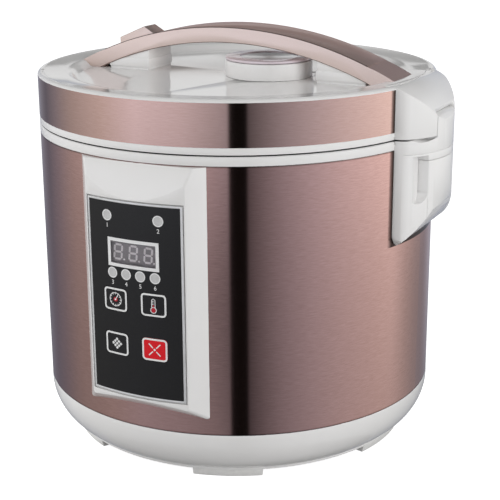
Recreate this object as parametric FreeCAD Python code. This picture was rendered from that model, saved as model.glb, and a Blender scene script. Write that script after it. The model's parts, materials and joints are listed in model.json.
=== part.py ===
import FreeCAD, Part
import math
import os

# Countertop yogurt maker: a round steel-clad pot with a hinged lid.
# Millimetres, +Z up, origin on the pot's axis at the floor.
# The control panel faces -Y, the lid's hinge is at +X, the handle runs along X.

os.makedirs("parts", exist_ok=True)
V = FreeCAD.Vector

# Heights of the stack, from the floor up
foot_height = 5.5
plate_thick = 2.5
base_height = 29.0
sleeve_height = 174.0
collar_height = 6.0
lid_gap = 0.8
lid_ring_height = 4.4
lid_band_height = 26.8
crest_height = 1.6
dish_depth = 5.2
dish_crown = 0.8

# Radii and walls
body_radius = 135.0
sleeve_wall = 0.8
plastic_wall = 2.5
base_foot_inset = 14.0
base_belly_inset = 4.2
plate_inset = 1.5
flange_width = 29.0
seat_inset = 15.5
seat_depth = 3.0
seat_width = 7.0
collar_skirt = 6.0
crest_inset = 4.5
dish_inset = 25.0
dish_step = 3.5
dish_edge_soft = 3.0
dish_lip_drop = 0.7
rim_bulge = 1.3

# Clearances
fit_gap = 0.1
run_gap = 0.4
pin_gap = 0.05
press_gap = 0.02

# How far cutting shapes run past what they cut
past = 60.0

# Feet
foot_count = 6
foot_first_angle = 23.0
foot_length = 47.0
foot_depth = 12.0
foot_chamfer = 2.0

# Screws
screw_radius = 1.6
screw_head_radius = 3.2
screw_head_height = 1.8
boss_radius = 4.5
base_screw_inset = 21.0
boss_drop = 12.0
base_screw_count = 4
lid_screw_inset = 11.0
lid_screw_count = 6
lid_screw_first_angle = 30.0
lid_screw_length = 14.0
handle_screw_spread = 11.5
handle_screw_length = 8.0

# Pot and heating
pot_gap = 6.5
pot_wall = 1.5
pot_corner = 14.0
pot_flange_gap = 1.0
pot_flange_thick = 1.5
chamber_wall = 0.8
chamber_lift = 11.0
chamber_hole = 22.0
post_count = 3
post_inset = 8.5
post_radius = 4.0
heater_inset = 26.0
heater_thick = 8.0
heater_leg = 4.0
heater_leg_radius = 3.0
heater_leg_count = 3
heater_leg_first_angle = 30.0
heater_leg_inset = 12.0
element_inset = 28.0
element_radius = 3.4
sensor_bore = 16.0
sensor_radius = 14.5
sensor_cap = 5.0
sensor_stem = 5.0
sensor_drop = 8.0
spring_radius = 8.5
spring_wire = 1.2
bracket_length = 64.0
bracket_width = 16.0
bracket_thick = 1.0
fuse_radius = 3.0
fuse_length = 24.0

# Control panel
panel_rise = 8.0
panel_foot_half = 44.0
panel_face_half = 35.0
panel_low = 16.0
panel_low_slope = 6.0
panel_high_slope = 21.0
panel_collar_gap = 0.5
panel_edge = 1.2
panel_corner = 3.0
overlay_half = 31.9
overlay_low = 25.5
overlay_height = 123.8
overlay_thick = 2.0
frame_width = 1.5
frame_groove = 0.9
window_half = 27.0
window_margin = 4.0
display_half = 18.2
display_height = 18.6
display_up = 83.0
lamp_radius = 3.4
upper_lamp_x = 18.0
upper_lamp_up = 115.2
lower_lamp_pitch = 10.1
lower_lamp_up = 78.8
key_x = 13.6
key_width = 17.0
key_height = 14.6
key_corner = 2.4
key_row_ups = (61.4, 32.2)
key_travel = 0.6
plunger_radius = 2.4
board_half = 29.0
board_overlap = 1.1
board_thick = 1.6
board_depth = 13.6
switch_size = 6.0
switch_height = 3.6
board_ear = 5.0
board_screw_x = 24.5
board_screw_radius = 1.2
board_screw_reach = 5.0
board_hole_depth = 6.0

# Mains side
power_board_inset = 67.5
power_board_length = 64.0
power_board_width = 72.0
power_board_lift = 14.0
parts_edge = 8.0
transformer_size = (26.0, 22.0, 18.0)
relay_size = (19.0, 15.0, 15.0)
terminal_size = (12.0, 22.0, 11.0)
capacitor_radius = 5.0
capacitor_height = 16.0
inlet_up = 25.0
inlet_half = 15.0
inlet_height = 24.0
inlet_flange = 4.0
inlet_flange_proud = 2.5
inlet_depth = 22.0
socket_depth = 17.0
socket_wall = 2.6
socket_corner = 2.0
inlet_pin_width = 4.0
inlet_pin_thick = 2.0
inlet_pin_length = 10.0
inlet_pin_spread = 7.0
inlet_earth_up = 4.0

# Hinge and dew collector
hinge_half_width = 39.0
hinge_side_depth = 5.3
hinge_reach = 17.7
hinge_core_inset = 35.0
hinge_lip_inset = 7.0
hinge_tail = 70.5
hinge_tail_round = 43.5
hinge_shoulder_bulge = 5.5
hinge_shoulder_lift = 3.0
hinge_edge_round = 4.0
hinge_tail_corner = 10.0
seam_groove_drop = 8.5
seam_groove_width = 0.6
seam_groove_depth = 0.6
hinge_pin_inset = 8.2
hinge_pin_up = 7.0
hinge_pin_radius = 2.0
knuckle_half = 16.7
knuckle_seam_angle = 72.0
hinge_pin_half = 22.0
hinge_spring_radius = 5.0
hinge_spring_half = 9.0
cup_half = 23.4
cup_drop = 14.0
cup_wall = 1.8
cup_floor_up = 14.0
cup_back_gap = 2.3
recess_width = 12.4
recess_drop = 10.5
recess_height = 30.5
recess_depth = 6.0

# Handle, release button and latch
handle_x = 3.0
handle_foot_inset = 39.8
handle_thick = 10.4
handle_clear = 17.4
handle_half_width = 16.5
pillar_half_width = 15.5
left_pillar_past = 4.3
left_pillar_length = 31.0
right_pillar_past = 6.3
right_pillar_length = 34.0
pillar_pad = 1.9
button_half = 7.5
button_inset = 3.5
button_slope = 19.8
button_past = 1.0
button_low_rise = 4.6
button_peak_rise = 6.4
button_travel = 4.0
stem_inset = 17.0
stem_radius = 3.0
button_spring_wall = 1.4
latch_inset = 11.0
latch_up = 14.2
latch_half = 5.0
latch_arm = 2.0
latch_pin_radius = 1.5
latch_boss = 4.0
latch_tooth = 1.8
latch_reach = 6.3
latch_lever = 3.0

# Steam vent
vent_x = 24.0
vent_radius = 29.5
vent_wall = 3.0
vent_height = 11.4
vent_cap_thick = 1.7
vent_cap_skirt = 2.4
vent_disc_radius = 19.5
vent_disc_drop = 0.6
vent_hole = 6.0
vent_dimple_radius = 15.0
vent_dimple_depth = 0.5

# Lid inside
inner_cover_overlap = 0.5
inner_cover_thick = 1.2
seal_bore_inset = 4.0
seal_edge_inset = 3.0
seal_gap = 0.3
lid_skirt = 23.0
guide_height = 9.0
steam_hole_count = 6
steam_hole_circle = 12.0
steam_hole_radius = 2.0

# Levels that follow from the stack
z_plate = foot_height
z_base = z_plate + plate_thick
z_sleeve = z_base + base_height
z_collar = z_sleeve + sleeve_height
z_seam = z_collar + collar_height
z_lid = z_seam + lid_gap
z_band = z_lid + lid_ring_height
z_rim = z_band + lid_band_height
z_crest = z_rim + crest_height
z_dish = z_crest - dish_depth
z_seat = z_seam - seat_depth
z_chamber = z_sleeve + chamber_lift
z_heater = z_chamber + chamber_wall + heater_leg
z_pot = z_heater + heater_thick
z_cover = z_lid + plastic_wall - 1.0

# Radii and places that follow from the body's radius
panel_radius = body_radius + panel_rise
sleeve_bore = body_radius - sleeve_wall
base_foot_radius = body_radius - base_foot_inset
plate_radius = base_foot_radius - plate_inset
flange_inner_radius = base_foot_radius - flange_width
base_screw_circle = base_foot_radius - base_screw_inset
seat_radius = body_radius - seat_inset
collar_bore = seat_radius - seat_width
crest_radius = body_radius - crest_inset
dish_radius = body_radius - dish_inset
lid_screw_circle = body_radius - lid_screw_inset
pot_radius = collar_bore - pot_gap
pot_flange_radius = seat_radius - pot_flange_gap
post_circle = collar_bore - post_inset
heater_radius = pot_radius - heater_inset
heater_leg_circle = heater_radius - heater_leg_inset
element_circle = heater_radius - element_inset
inner_cover_radius = seat_radius + inner_cover_overlap
seal_inner = collar_bore - seal_bore_inset
seal_outer = seat_radius - seal_edge_inset
latch_x = latch_inset - body_radius
handle_half_span = crest_radius - handle_foot_inset
handle_inner_radius = (handle_half_span ** 2 + handle_clear ** 2) / (2 * handle_clear)
left_pillar_start = handle_x - handle_half_span - left_pillar_past
left_pillar = (left_pillar_start, left_pillar_start + left_pillar_length)
right_pillar_end = handle_x + handle_half_span + right_pillar_past
right_pillar = (right_pillar_end - right_pillar_length, right_pillar_end)
button_left = left_pillar[0] + button_inset
button_peak = button_left + button_slope
button_right = left_pillar[1] + button_past
button_x = left_pillar[0] + stem_inset
power_board_x = power_board_inset - plate_radius


def save(name, *solids):
    shape = solids[0] if len(solids) == 1 else Part.makeCompound(list(solids))
    shape.exportStep(os.path.join("parts", name + ".step"))


def box(x0, x1, y0, y1, z0, z1):
    return Part.makeBox(x1 - x0, y1 - y0, z1 - z0, V(x0, y0, z0))


def cylinder(radius, z0, z1, x=0.0, y=0.0):
    return Part.makeCylinder(radius, z1 - z0, V(x, y, z0))


def cylinder_y(radius, y0, y1, x, z):
    return Part.makeCylinder(radius, y1 - y0, V(x, y0, z), V(0, 1, 0))


def ring(inner, outer, z0, z1, x=0.0, y=0.0):
    return cylinder(outer, z0, z1, x, y).cut(cylinder(inner, z0, z1, x, y))


def outline(place, start, *steps):
    """A closed face: a step is a point, or a (middle, end) pair for an arc."""
    edges = []
    here = start
    for step in steps + (start,):
        if isinstance(step[0], tuple):
            middle, end = step
            edges.append(Part.Arc(place(*here), place(*middle), place(*end)).toShape())
        else:
            end = step
            edges.append(Part.LineSegment(place(*here), place(*end)).toShape())
        here = end
    return Part.Face(Part.Wire(edges))


def on_xz(x, z):
    return V(x, 0, z)


def on_xy(x, y):
    return V(x, y, 0)


def on_yz(y, z):
    return V(0, y, z)


def upright(shape):
    """The same solid with its volume counted as positive."""
    if shape.Volume < 0:
        shape.reverse()
    return shape


def revolved(start, *steps):
    face = outline(on_xz, start, *steps)
    return upright(face.revolve(V(0, 0, 0), V(0, 0, 1), 360))


def across_y(half, start, *steps):
    """A profile in X and Z, extruded to both sides of the XZ plane."""
    face = outline(on_xz, start, *steps)
    face.translate(V(0, -half, 0))
    return upright(face.extrude(V(0, 2 * half, 0)))


def around(radius, count, first=0.0):
    for index in range(count):
        angle = math.radians(first + 360.0 * index / count)
        yield radius * math.cos(angle), radius * math.sin(angle)


def slab_y(width, height, corner, y0, y1, x, z):
    """A block along Y whose four long edges are rounded."""
    block = box(x - width / 2, x + width / 2, y0, y1, z - height / 2, z + height / 2)
    long_edges = [e for e in block.Edges if abs(e.Vertexes[0].Y - e.Vertexes[1].Y) > 0.5 * (y1 - y0)]
    return block.makeFillet(corner, long_edges)


def screw(x, y, z_head, length):
    """A pan-head screw: the head lies below its seat and the shank runs up."""
    head = cylinder(screw_head_radius, z_head - screw_head_height, z_head, x, y)
    shank = cylinder(screw_radius, z_head, z_head + length, x, y)
    return head.fuse(shank).removeSplitter()


# Feet: six curved pads under the edge of the base plate
foot_angle = math.degrees(foot_length / plate_radius)
feet = []
for index in range(foot_count):
    turn = foot_first_angle - 90.0 + 360.0 * index / foot_count - 0.5 * foot_angle
    profile = outline(
        on_xz,
        (plate_radius - foot_depth, z_plate),
        (plate_radius - foot_depth + foot_chamfer, 0.0),
        (plate_radius - foot_chamfer, 0.0),
        (plate_radius - 0.5, z_plate),
    )
    pad = upright(profile.revolve(V(0, 0, 0), V(0, 0, 1), foot_angle))
    pad.rotate(V(0, 0, 0), V(0, 0, 1), turn)
    feet.append(pad)
save("feet", *feet)

# Base plate: closes the bottom, with vent slots, screw holes and board standoffs
base_screw_points = list(around(base_screw_circle, base_screw_count, 45.0))
power_x0 = power_board_x - 0.5 * power_board_length
power_x1 = power_board_x + 0.5 * power_board_length
z_power = z_base + power_board_lift
standoff_inset = 6.0
standoff_points = [
    (x, side * (0.5 * power_board_width - standoff_inset))
    for x in (power_x0 + standoff_inset, power_x1 - standoff_inset)
    for side in (-1, 1)
]
slot_half = 1.5
slot_inner = 30.0
slot_outer = 60.0
slot_count = 12
base_plate = cylinder(plate_radius, z_plate, z_base)
for index in range(slot_count):
    slot = box(slot_inner, slot_outer, -slot_half, slot_half, z_plate, z_base)
    slot.rotate(V(0, 0, 0), V(0, 0, 1), 360.0 * (index + 0.5) / slot_count)
    base_plate = base_plate.cut(slot)
for x, y in base_screw_points:
    base_plate = base_plate.cut(cylinder(screw_radius + fit_gap, z_plate, z_base, x, y))
for x, y in standoff_points:
    base_plate = base_plate.fuse(cylinder(boss_radius, z_base - plate_thick, z_power, x, y))
save("base_plate", base_plate.removeSplitter())
boss_top = z_sleeve - boss_drop
screw_reach = boss_top - z_plate - 2.0 * fit_gap
save("base_screws", *[screw(x, y, z_plate, screw_reach) for x, y in base_screw_points])

# Base housing: the white bowl under the sleeve, with screw bosses and chamber posts
belly_z = z_base + 0.36 * base_height
base_inner = base_foot_radius - 1.0
base_housing = revolved(
    (flange_inner_radius, z_base),
    (base_foot_radius, z_base),
    ((body_radius - base_belly_inset, belly_z), (body_radius, z_sleeve)),
    (body_radius - plastic_wall, z_sleeve),
    (
        (body_radius - base_belly_inset - plastic_wall, belly_z + 1.0),
        (base_inner - plastic_wall, z_base + plastic_wall),
    ),
    (flange_inner_radius, z_base + plastic_wall),
)
for x, y in base_screw_points:
    boss = cylinder(boss_radius, z_base, boss_top, x, y)
    base_housing = base_housing.fuse(boss)
for x, y in base_screw_points:
    base_housing = base_housing.cut(cylinder(screw_radius + fit_gap, z_base, boss_top, x, y))
for x, y in around(post_circle, post_count, 90.0):
    base_housing = base_housing.fuse(cylinder(post_radius, z_base, z_chamber, x, y))
save("base_housing", base_housing.removeSplitter())

# Hinge envelope: the outside shape shared by the body's housing and the lid's cover
hinge_x = body_radius + hinge_reach
hinge_side_x = math.sqrt(body_radius ** 2 - hinge_half_width ** 2) + hinge_side_depth
pin_x = hinge_x - hinge_pin_inset
pin_z = z_seam + hinge_pin_up
shoulder_x = crest_radius - 1.0
shoulder_z = z_crest - 0.3
z_tail = z_seam - hinge_tail
hinge_core_x = body_radius - hinge_core_inset
z_shoulder = 0.5 * (z_seam + shoulder_z) + hinge_shoulder_lift
shoulder_sag = 0.5 * (hinge_x - shoulder_x) - hinge_shoulder_bulge


def around_pin(angle, radius=hinge_pin_inset):
    return pin_x + radius * math.cos(angle), pin_z + radius * math.sin(angle)


def hinge_plan(inset=0.0):
    """The hinge's plan shape, standing from the floor to above the lid."""
    tip = hinge_x - inset
    half = hinge_half_width - inset
    side = hinge_side_x - inset
    bow = tip - side
    bow_radius = (half ** 2 + bow ** 2) / (2 * bow)
    soft = hinge_edge_round
    soft_cut = soft * (1.0 - math.sqrt(0.5))
    front_y = half - soft
    front_x = tip - bow_radius + math.sqrt(bow_radius ** 2 - front_y ** 2)
    plan = outline(
        on_xy,
        (hinge_core_x, -half),
        (side - soft, -half),
        ((0.5 * (side + front_x) - soft_cut, soft_cut - half), (front_x, -front_y)),
        ((tip, 0.0), (front_x, front_y)),
        ((0.5 * (side + front_x) - soft_cut, half - soft_cut), (side - soft, half)),
        (hinge_core_x, half),
    )
    return upright(plan.extrude(V(0, 0, z_crest + past)))


def hinge_front(inset=0.0):
    """The hinge seen from its end: a tall shape with its two lower corners rounded."""
    half = hinge_half_width - inset
    low = z_tail + inset
    corner = hinge_tail_corner - inset
    corner_cut = corner * (1.0 - math.sqrt(0.5))
    face = outline(
        on_yz,
        (-half, z_crest + past),
        (-half, low + corner),
        ((corner_cut - half, low + corner_cut), (corner - half, low)),
        (half - corner, low),
        ((half - corner_cut, low + corner_cut), (half, low + corner)),
        (half, z_crest + past),
    )
    face.translate(V(hinge_core_x, 0, 0))
    return upright(face.extrude(V(hinge_x, 0, 0)))


def hinge_envelope(inset=0.0):
    """Plan, side and end shapes crossed with each other; inset makes it smaller."""
    tip = hinge_x - inset
    bulge_x = body_radius + 0.58 * hinge_reach - inset
    bulge_z = z_tail + 0.38 * hinge_tail_round + inset
    profile = across_y(
        past,
        (hinge_core_x, z_tail + inset),
        (body_radius - hinge_lip_inset, z_tail + inset),
        ((bulge_x, bulge_z), (tip, z_tail + hinge_tail_round)),
        (tip, z_seam),
        ((tip - shoulder_sag, z_shoulder), (shoulder_x - inset, shoulder_z - inset)),
        (hinge_core_x, shoulder_z - inset),
    )
    return hinge_plan(inset).common(profile).common(hinge_front(inset))


envelope = hinge_envelope()
knuckle_clear = hinge_pin_inset + run_gap
sweep_radius = math.hypot(hinge_pin_inset - 2.9, hinge_pin_up - lid_gap) + run_gap
hinge_groove = cylinder_y(sweep_radius, -hinge_half_width, hinge_half_width, pin_x, pin_z)

# Outer sleeve: brushed steel sheet, with windows behind the panel and the inlet
overlay_z0 = z_sleeve + overlay_low
overlay_z1 = overlay_z0 + overlay_height
window_z0 = overlay_z0 + window_margin
window_z1 = overlay_z1 - window_margin
inlet_z = z_sleeve + inlet_up
inlet_z0 = inlet_z - 0.5 * inlet_height
inlet_z1 = inlet_z + 0.5 * inlet_height
outer_sleeve = ring(sleeve_bore, body_radius, z_sleeve, z_collar)
outer_sleeve = outer_sleeve.cut(box(-window_half, window_half, -body_radius - 1.0, 0, window_z0, window_z1))
outer_sleeve = outer_sleeve.cut(
    box(-inlet_half - fit_gap, inlet_half + fit_gap, 0, body_radius + 1.0, inlet_z0 - fit_gap,
        inlet_z1 + fit_gap)
)
save("outer_sleeve", outer_sleeve)

# Upper collar: white ring that holds the pot's flange and closes the sleeve
collar_edge = 0.8
skirt_inner = sleeve_bore - fit_gap - plastic_wall
collar_lip = collar_bore + plastic_wall
upper_collar = revolved(
    (body_radius, z_collar),
    (body_radius, z_seam - collar_edge),
    (body_radius - collar_edge, z_seam),
    (seat_radius, z_seam),
    (seat_radius, z_seat),
    (collar_bore, z_seat),
    (collar_bore, z_collar - collar_skirt),
    (collar_lip, z_collar - collar_skirt),
    (collar_lip, z_collar),
    (skirt_inner, z_collar),
    (skirt_inner, z_collar - collar_skirt),
    (sleeve_bore - fit_gap, z_collar - collar_skirt),
    (sleeve_bore - fit_gap, z_collar),
)
hook_slot_half = latch_half + 1.5
hook_slot_x0 = latch_x - latch_arm - 4.0
hook_slot_x1 = latch_x + latch_arm + latch_tooth + run_gap
upper_collar = upper_collar.cut(
    box(hook_slot_x0, hook_slot_x1, -hook_slot_half, hook_slot_half, z_collar - collar_skirt, z_seam)
)
save("upper_collar", upper_collar)

# Inner chamber: sheet-metal cup around the pot, standing on the base posts
chamber_radius = collar_bore - fit_gap
inner_chamber = ring(chamber_radius - chamber_wall, chamber_radius, z_chamber, z_seat - 1.0)
inner_chamber = inner_chamber.fuse(ring(chamber_hole, chamber_radius, z_chamber, z_chamber + chamber_wall))
save("inner_chamber", inner_chamber.removeSplitter())

# Heater plate: cast aluminium disc on legs, with the element half sunk in its underside
heater_plate = ring(sensor_bore, heater_radius, z_heater, z_pot)
for x, y in around(heater_leg_circle, heater_leg_count, heater_leg_first_angle):
    heater_plate = heater_plate.fuse(cylinder(heater_leg_radius, z_chamber + chamber_wall, z_heater, x, y))
element_path = Part.makeTorus(element_circle, element_radius + fit_gap, V(0, 0, z_heater), V(0, 0, 1))
heater_plate = heater_plate.cut(element_path)
save("heater_plate", heater_plate.removeSplitter())
save("heating_element", Part.makeTorus(element_circle, element_radius, V(0, 0, z_heater), V(0, 0, 1)))

# Inner pot: drawn steel vessel, flange seated in the collar, bottom on the heater plate
z_flange = z_seat + pot_flange_thick
corner_out = pot_corner * (1.0 - math.sqrt(0.5))
corner_in = pot_corner - pot_wall
corner_in_cut = corner_in * (1.0 - math.sqrt(0.5))
pot_bore = pot_radius - pot_wall
inner_pot = revolved(
    (0.0, z_pot),
    (pot_radius - pot_corner, z_pot),
    ((pot_radius - corner_out, z_pot + corner_out), (pot_radius, z_pot + pot_corner)),
    (pot_radius, z_seat),
    (pot_flange_radius, z_seat),
    (pot_flange_radius, z_flange),
    (pot_bore, z_flange),
    (pot_bore, z_pot + pot_corner),
    (
        (pot_bore - corner_in_cut, z_pot + pot_wall + corner_in_cut),
        (pot_radius - pot_corner, z_pot + pot_wall),
    ),
    (0.0, z_pot + pot_wall),
)
save("inner_pot", inner_pot)

# Temperature sensor: sprung cap against the pot, guided by a bracket under the chamber
z_bracket = z_chamber - bracket_thick
sensor = cylinder(sensor_radius, z_pot - sensor_cap, z_pot)
sensor = sensor.fuse(cylinder(sensor_stem, z_bracket - sensor_drop, z_pot - sensor_cap))
save("temperature_sensor", sensor.removeSplitter())
save("sensor_spring", ring(spring_radius - spring_wire, spring_radius, z_chamber, z_pot - sensor_cap))
sensor_bracket = box(-0.5 * bracket_length, 0.5 * bracket_length, -0.5 * bracket_width, 0.5 * bracket_width,
                     z_bracket, z_chamber)
sensor_bracket = sensor_bracket.cut(cylinder(sensor_stem + fit_gap, z_bracket, z_chamber))
save("sensor_bracket", sensor_bracket)

# Thermal fuse: small capsule clipped under the chamber floor
fuse_y = 50.0
fuse_z = z_chamber - fuse_radius - fit_gap
thermal_fuse = Part.makeCylinder(fuse_radius, fuse_length, V(-0.5 * fuse_length, fuse_y, fuse_z), V(1, 0, 0))
save("thermal_fuse", thermal_fuse)

# Panel bezel: raised white surround, cut to the sleeve's curve
panel_z0 = z_sleeve + panel_low
panel_z1 = z_collar - panel_collar_gap
foot_y = math.sqrt(body_radius ** 2 - panel_foot_half ** 2)
face_y = math.sqrt(panel_radius ** 2 - panel_face_half ** 2)
side_slope = (panel_foot_half - panel_face_half) / (face_y - foot_y)


def panel_section(y):
    half = panel_foot_half - (y - foot_y) * side_slope
    rise = (y - body_radius) / panel_rise
    low = panel_z0 + rise * panel_low_slope
    high = panel_z1 - rise * panel_high_slope
    corners = [V(-half, -y, low), V(half, -y, low), V(half, -y, high), V(-half, -y, high)]
    return Part.makePolygon(corners + corners[:1])


back_y = foot_y - 4.0
front_y = panel_radius + 3.0
pyramid = Part.makeLoft([panel_section(back_y), panel_section(front_y)], True, True)
slanted = [e for e in pyramid.Edges if abs(e.Vertexes[0].Y - e.Vertexes[1].Y) > 1.0]
pyramid = pyramid.makeFillet(panel_corner, slanted)
pyramid = pyramid.common(cylinder(panel_radius, panel_z0 - past, panel_z1))
panel_bezel = pyramid.cut(cylinder(body_radius + press_gap, 0, z_crest))


def on_face(edge):
    return all(abs(math.hypot(v.X, v.Y) - panel_radius) < 0.05 for v in edge.Vertexes)


panel_bezel = panel_bezel.makeFillet(panel_edge, [e for e in panel_bezel.Edges if on_face(e)])
floor_radius = panel_radius - overlay_thick
pocket = frame_width + frame_groove


def panel_plate(grow, inner, outer):
    """A curved plate of the overlay's outline, grown on all sides."""
    shell = ring(inner, outer, overlay_z0 - grow, overlay_z1 + grow)
    return shell.common(
        box(-overlay_half - grow, overlay_half + grow, -outer, 0, overlay_z0 - grow, overlay_z1 + grow)
    )


panel_bezel = panel_bezel.cut(panel_plate(pocket, floor_radius, panel_radius + 5.0))
window = box(-window_half, window_half, -panel_radius, 0, window_z0, window_z1)
panel_bezel = panel_bezel.cut(window)
board_y = board_depth - panel_radius
ear_zs = (window_z0 + 0.5 * board_ear, window_z1 - 0.5 * board_ear)
ear_inner = window_half - board_ear
for side in (-1, 1):
    for z in ear_zs:
        x0, x1 = sorted((side * ear_inner, side * window_half))
        ear = box(x0, x1, -panel_radius, board_y, z - 0.5 * board_ear, z + 0.5 * board_ear)
        ear = ear.common(cylinder(floor_radius, panel_z0, panel_z1))
        hole_start = board_y - board_hole_depth
        ear = ear.cut(cylinder_y(board_screw_radius, hole_start, board_y, side * board_screw_x, z))
        panel_bezel = panel_bezel.fuse(ear)
save("panel_bezel", panel_bezel.removeSplitter())

# Panel frame: thin silver line round the overlay
frame_inner = panel_plate(fit_gap, floor_radius - 1.0, panel_radius + 1.0)
save("panel_frame", panel_plate(frame_width, floor_radius, panel_radius).cut(frame_inner))

# Panel overlay: black plate with openings for the display, the lamps and the keys
overlay_radius = panel_radius - 0.2
display_z = overlay_z0 + display_up + 0.5 * display_height
lower_lamp_xs = [lower_lamp_pitch * (index - 1.5) for index in range(4)]
lamp_points = [(side * upper_lamp_x, overlay_z0 + upper_lamp_up) for side in (-1, 1)]
lamp_points += [(x, overlay_z0 + lower_lamp_up) for x in lower_lamp_xs]
key_points = {
    "time_key": (-key_x, overlay_z0 + key_row_ups[0]),
    "temperature_key": (key_x, overlay_z0 + key_row_ups[0]),
    "function_key": (-key_x, overlay_z0 + key_row_ups[1]),
    "cancel_key": (key_x, overlay_z0 + key_row_ups[1]),
}
plate_shell = ring(floor_radius, overlay_radius, overlay_z0, overlay_z1)
far_y = -panel_radius - 2.0
panel_overlay = panel_plate(0.0, floor_radius, overlay_radius)
panel_overlay = panel_overlay.cut(
    box(-display_half, display_half, far_y, 0, display_z - 0.5 * display_height,
        display_z + 0.5 * display_height)
)
for x, z in lamp_points:
    panel_overlay = panel_overlay.cut(cylinder_y(lamp_radius + fit_gap, far_y, 0, x, z))
for x, z in key_points.values():
    hole = slab_y(key_width + 2 * run_gap, key_height + 2 * run_gap, key_corner + run_gap, far_y, 0, x, z)
    panel_overlay = panel_overlay.cut(hole)
save("panel_overlay", panel_overlay)

# Display window: clear plate flush with the overlay, and the digit module behind it
glass_half = display_half - fit_gap
glass_low = display_z - 0.5 * display_height + fit_gap
glass_high = display_z + 0.5 * display_height - fit_gap
save("display_window", plate_shell.common(box(-glass_half, glass_half, far_y, 0, glass_low, glass_high)))
module_half = display_half - 1.0
module_front = -math.sqrt(floor_radius ** 2 - module_half ** 2) + fit_gap
save("display_module", box(-module_half, module_half, module_front, board_y, glass_low + 0.5,
                           glass_high - 0.5))

# Indicator lamps: light pipes from the board to the overlay's face
lamps = []
for x, z in lamp_points:
    pipe = cylinder_y(lamp_radius, far_y, board_y, x, z)
    lamps.append(pipe.common(cylinder(overlay_radius, overlay_z0, overlay_z1)))
save("indicator_lamps", *lamps)

# Control board: screwed to the bezel's ears, carries the key switches
board_z = 0.5 * (window_z0 + window_z1)
board_height = window_z1 - window_z0 + 2 * board_overlap
board_back = board_y + board_thick
control_board = box(-board_half, board_half, board_y, board_back, board_z - 0.5 * board_height,
                    board_z + 0.5 * board_height)
screws = []
for side in (-1, 1):
    for z in ear_zs:
        x = side * board_screw_x
        control_board = control_board.cut(cylinder_y(board_screw_radius + fit_gap, board_y, board_back,
                                                     x, z))
        head = cylinder_y(2 * board_screw_radius, board_back, board_back + board_screw_radius, x, z)
        shank = cylinder_y(board_screw_radius - fit_gap, board_y - board_screw_reach, board_back, x, z)
        screws.append(head.fuse(shank).removeSplitter())
save("control_board", control_board)
save("board_screws", *screws)
switch_front = board_y - switch_height
half_switch = 0.5 * switch_size
save("tact_switches", *[
    box(x - half_switch, x + half_switch, switch_front, board_y, z - half_switch, z + half_switch)
    for x, z in key_points.values()
])

# Keys: four caps flush with the overlay, each with a plunger over its switch
plunger_gap = 0.2
for name, (x, z) in key_points.items():
    cap = slab_y(key_width, key_height, key_corner, far_y, 0, x, z).common(plate_shell)
    plunger_back = switch_front - key_travel - plunger_gap
    plunger = cylinder_y(plunger_radius, far_y, plunger_back, x, z)
    plunger = plunger.common(cylinder(floor_radius + 0.5 * overlay_thick, overlay_z0, overlay_z1))
    save(name, cap.fuse(plunger).removeSplitter())

# Power board: in the base beside the sensor, on the plate's standoffs
half_power = 0.5 * power_board_width
power_board = box(power_x0, power_x1, -half_power, half_power, z_power, z_power + board_thick)
save("power_board", power_board)
z_parts = z_power + board_thick
parts_x0 = power_x0 + parts_edge
parts_x1 = power_x1 - parts_edge
parts_y = half_power - parts_edge
transformer = box(parts_x0, parts_x0 + transformer_size[0], -parts_y, transformer_size[1] - parts_y,
                  z_parts, z_parts + transformer_size[2])
relay = box(parts_x0, parts_x0 + relay_size[0], parts_y - relay_size[1], parts_y, z_parts,
            z_parts + relay_size[2])
capacitor = cylinder(capacitor_radius, z_parts, z_parts + capacitor_height, parts_x1 - capacitor_radius,
                     parts_y - capacitor_radius)
terminal = box(parts_x1 - terminal_size[0], parts_x1, -parts_y, terminal_size[1] - parts_y,
               z_parts, z_parts + terminal_size[2])
save("power_components", transformer, relay, capacitor, terminal)

# Mains inlet: socket through the sleeve, low at the rear
inlet_front = body_radius + inlet_flange_proud
inlet_back = inlet_front - inlet_depth
flange = box(-inlet_half - inlet_flange, inlet_half + inlet_flange, 0.9 * body_radius, inlet_front,
             inlet_z0 - inlet_flange, inlet_z1 + inlet_flange)
flange = flange.cut(cylinder(body_radius + press_gap, 0, z_crest))
barrel = box(-inlet_half, inlet_half, inlet_back, inlet_front, inlet_z0, inlet_z1)
power_inlet = flange.fuse(barrel).removeSplitter()
socket_back = inlet_front - socket_depth
socket_width = 2 * (inlet_half - socket_wall)
socket_height = inlet_height - 2 * socket_wall
socket = slab_y(socket_width, socket_height, socket_corner, socket_back, inlet_front + 1.0, 0, inlet_z)
power_inlet = power_inlet.cut(socket)
save("power_inlet", power_inlet)
pins = []
for x, up in ((-inlet_pin_spread, -0.5), (0.0, 0.5), (inlet_pin_spread, -0.5)):
    z = inlet_z + up * inlet_earth_up
    pins.append(box(x - 0.5 * inlet_pin_thick, x + 0.5 * inlet_pin_thick, socket_back,
                    socket_back + inlet_pin_length,
                    z - 0.5 * inlet_pin_width, z + 0.5 * inlet_pin_width))
save("inlet_pins", *pins)

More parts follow.
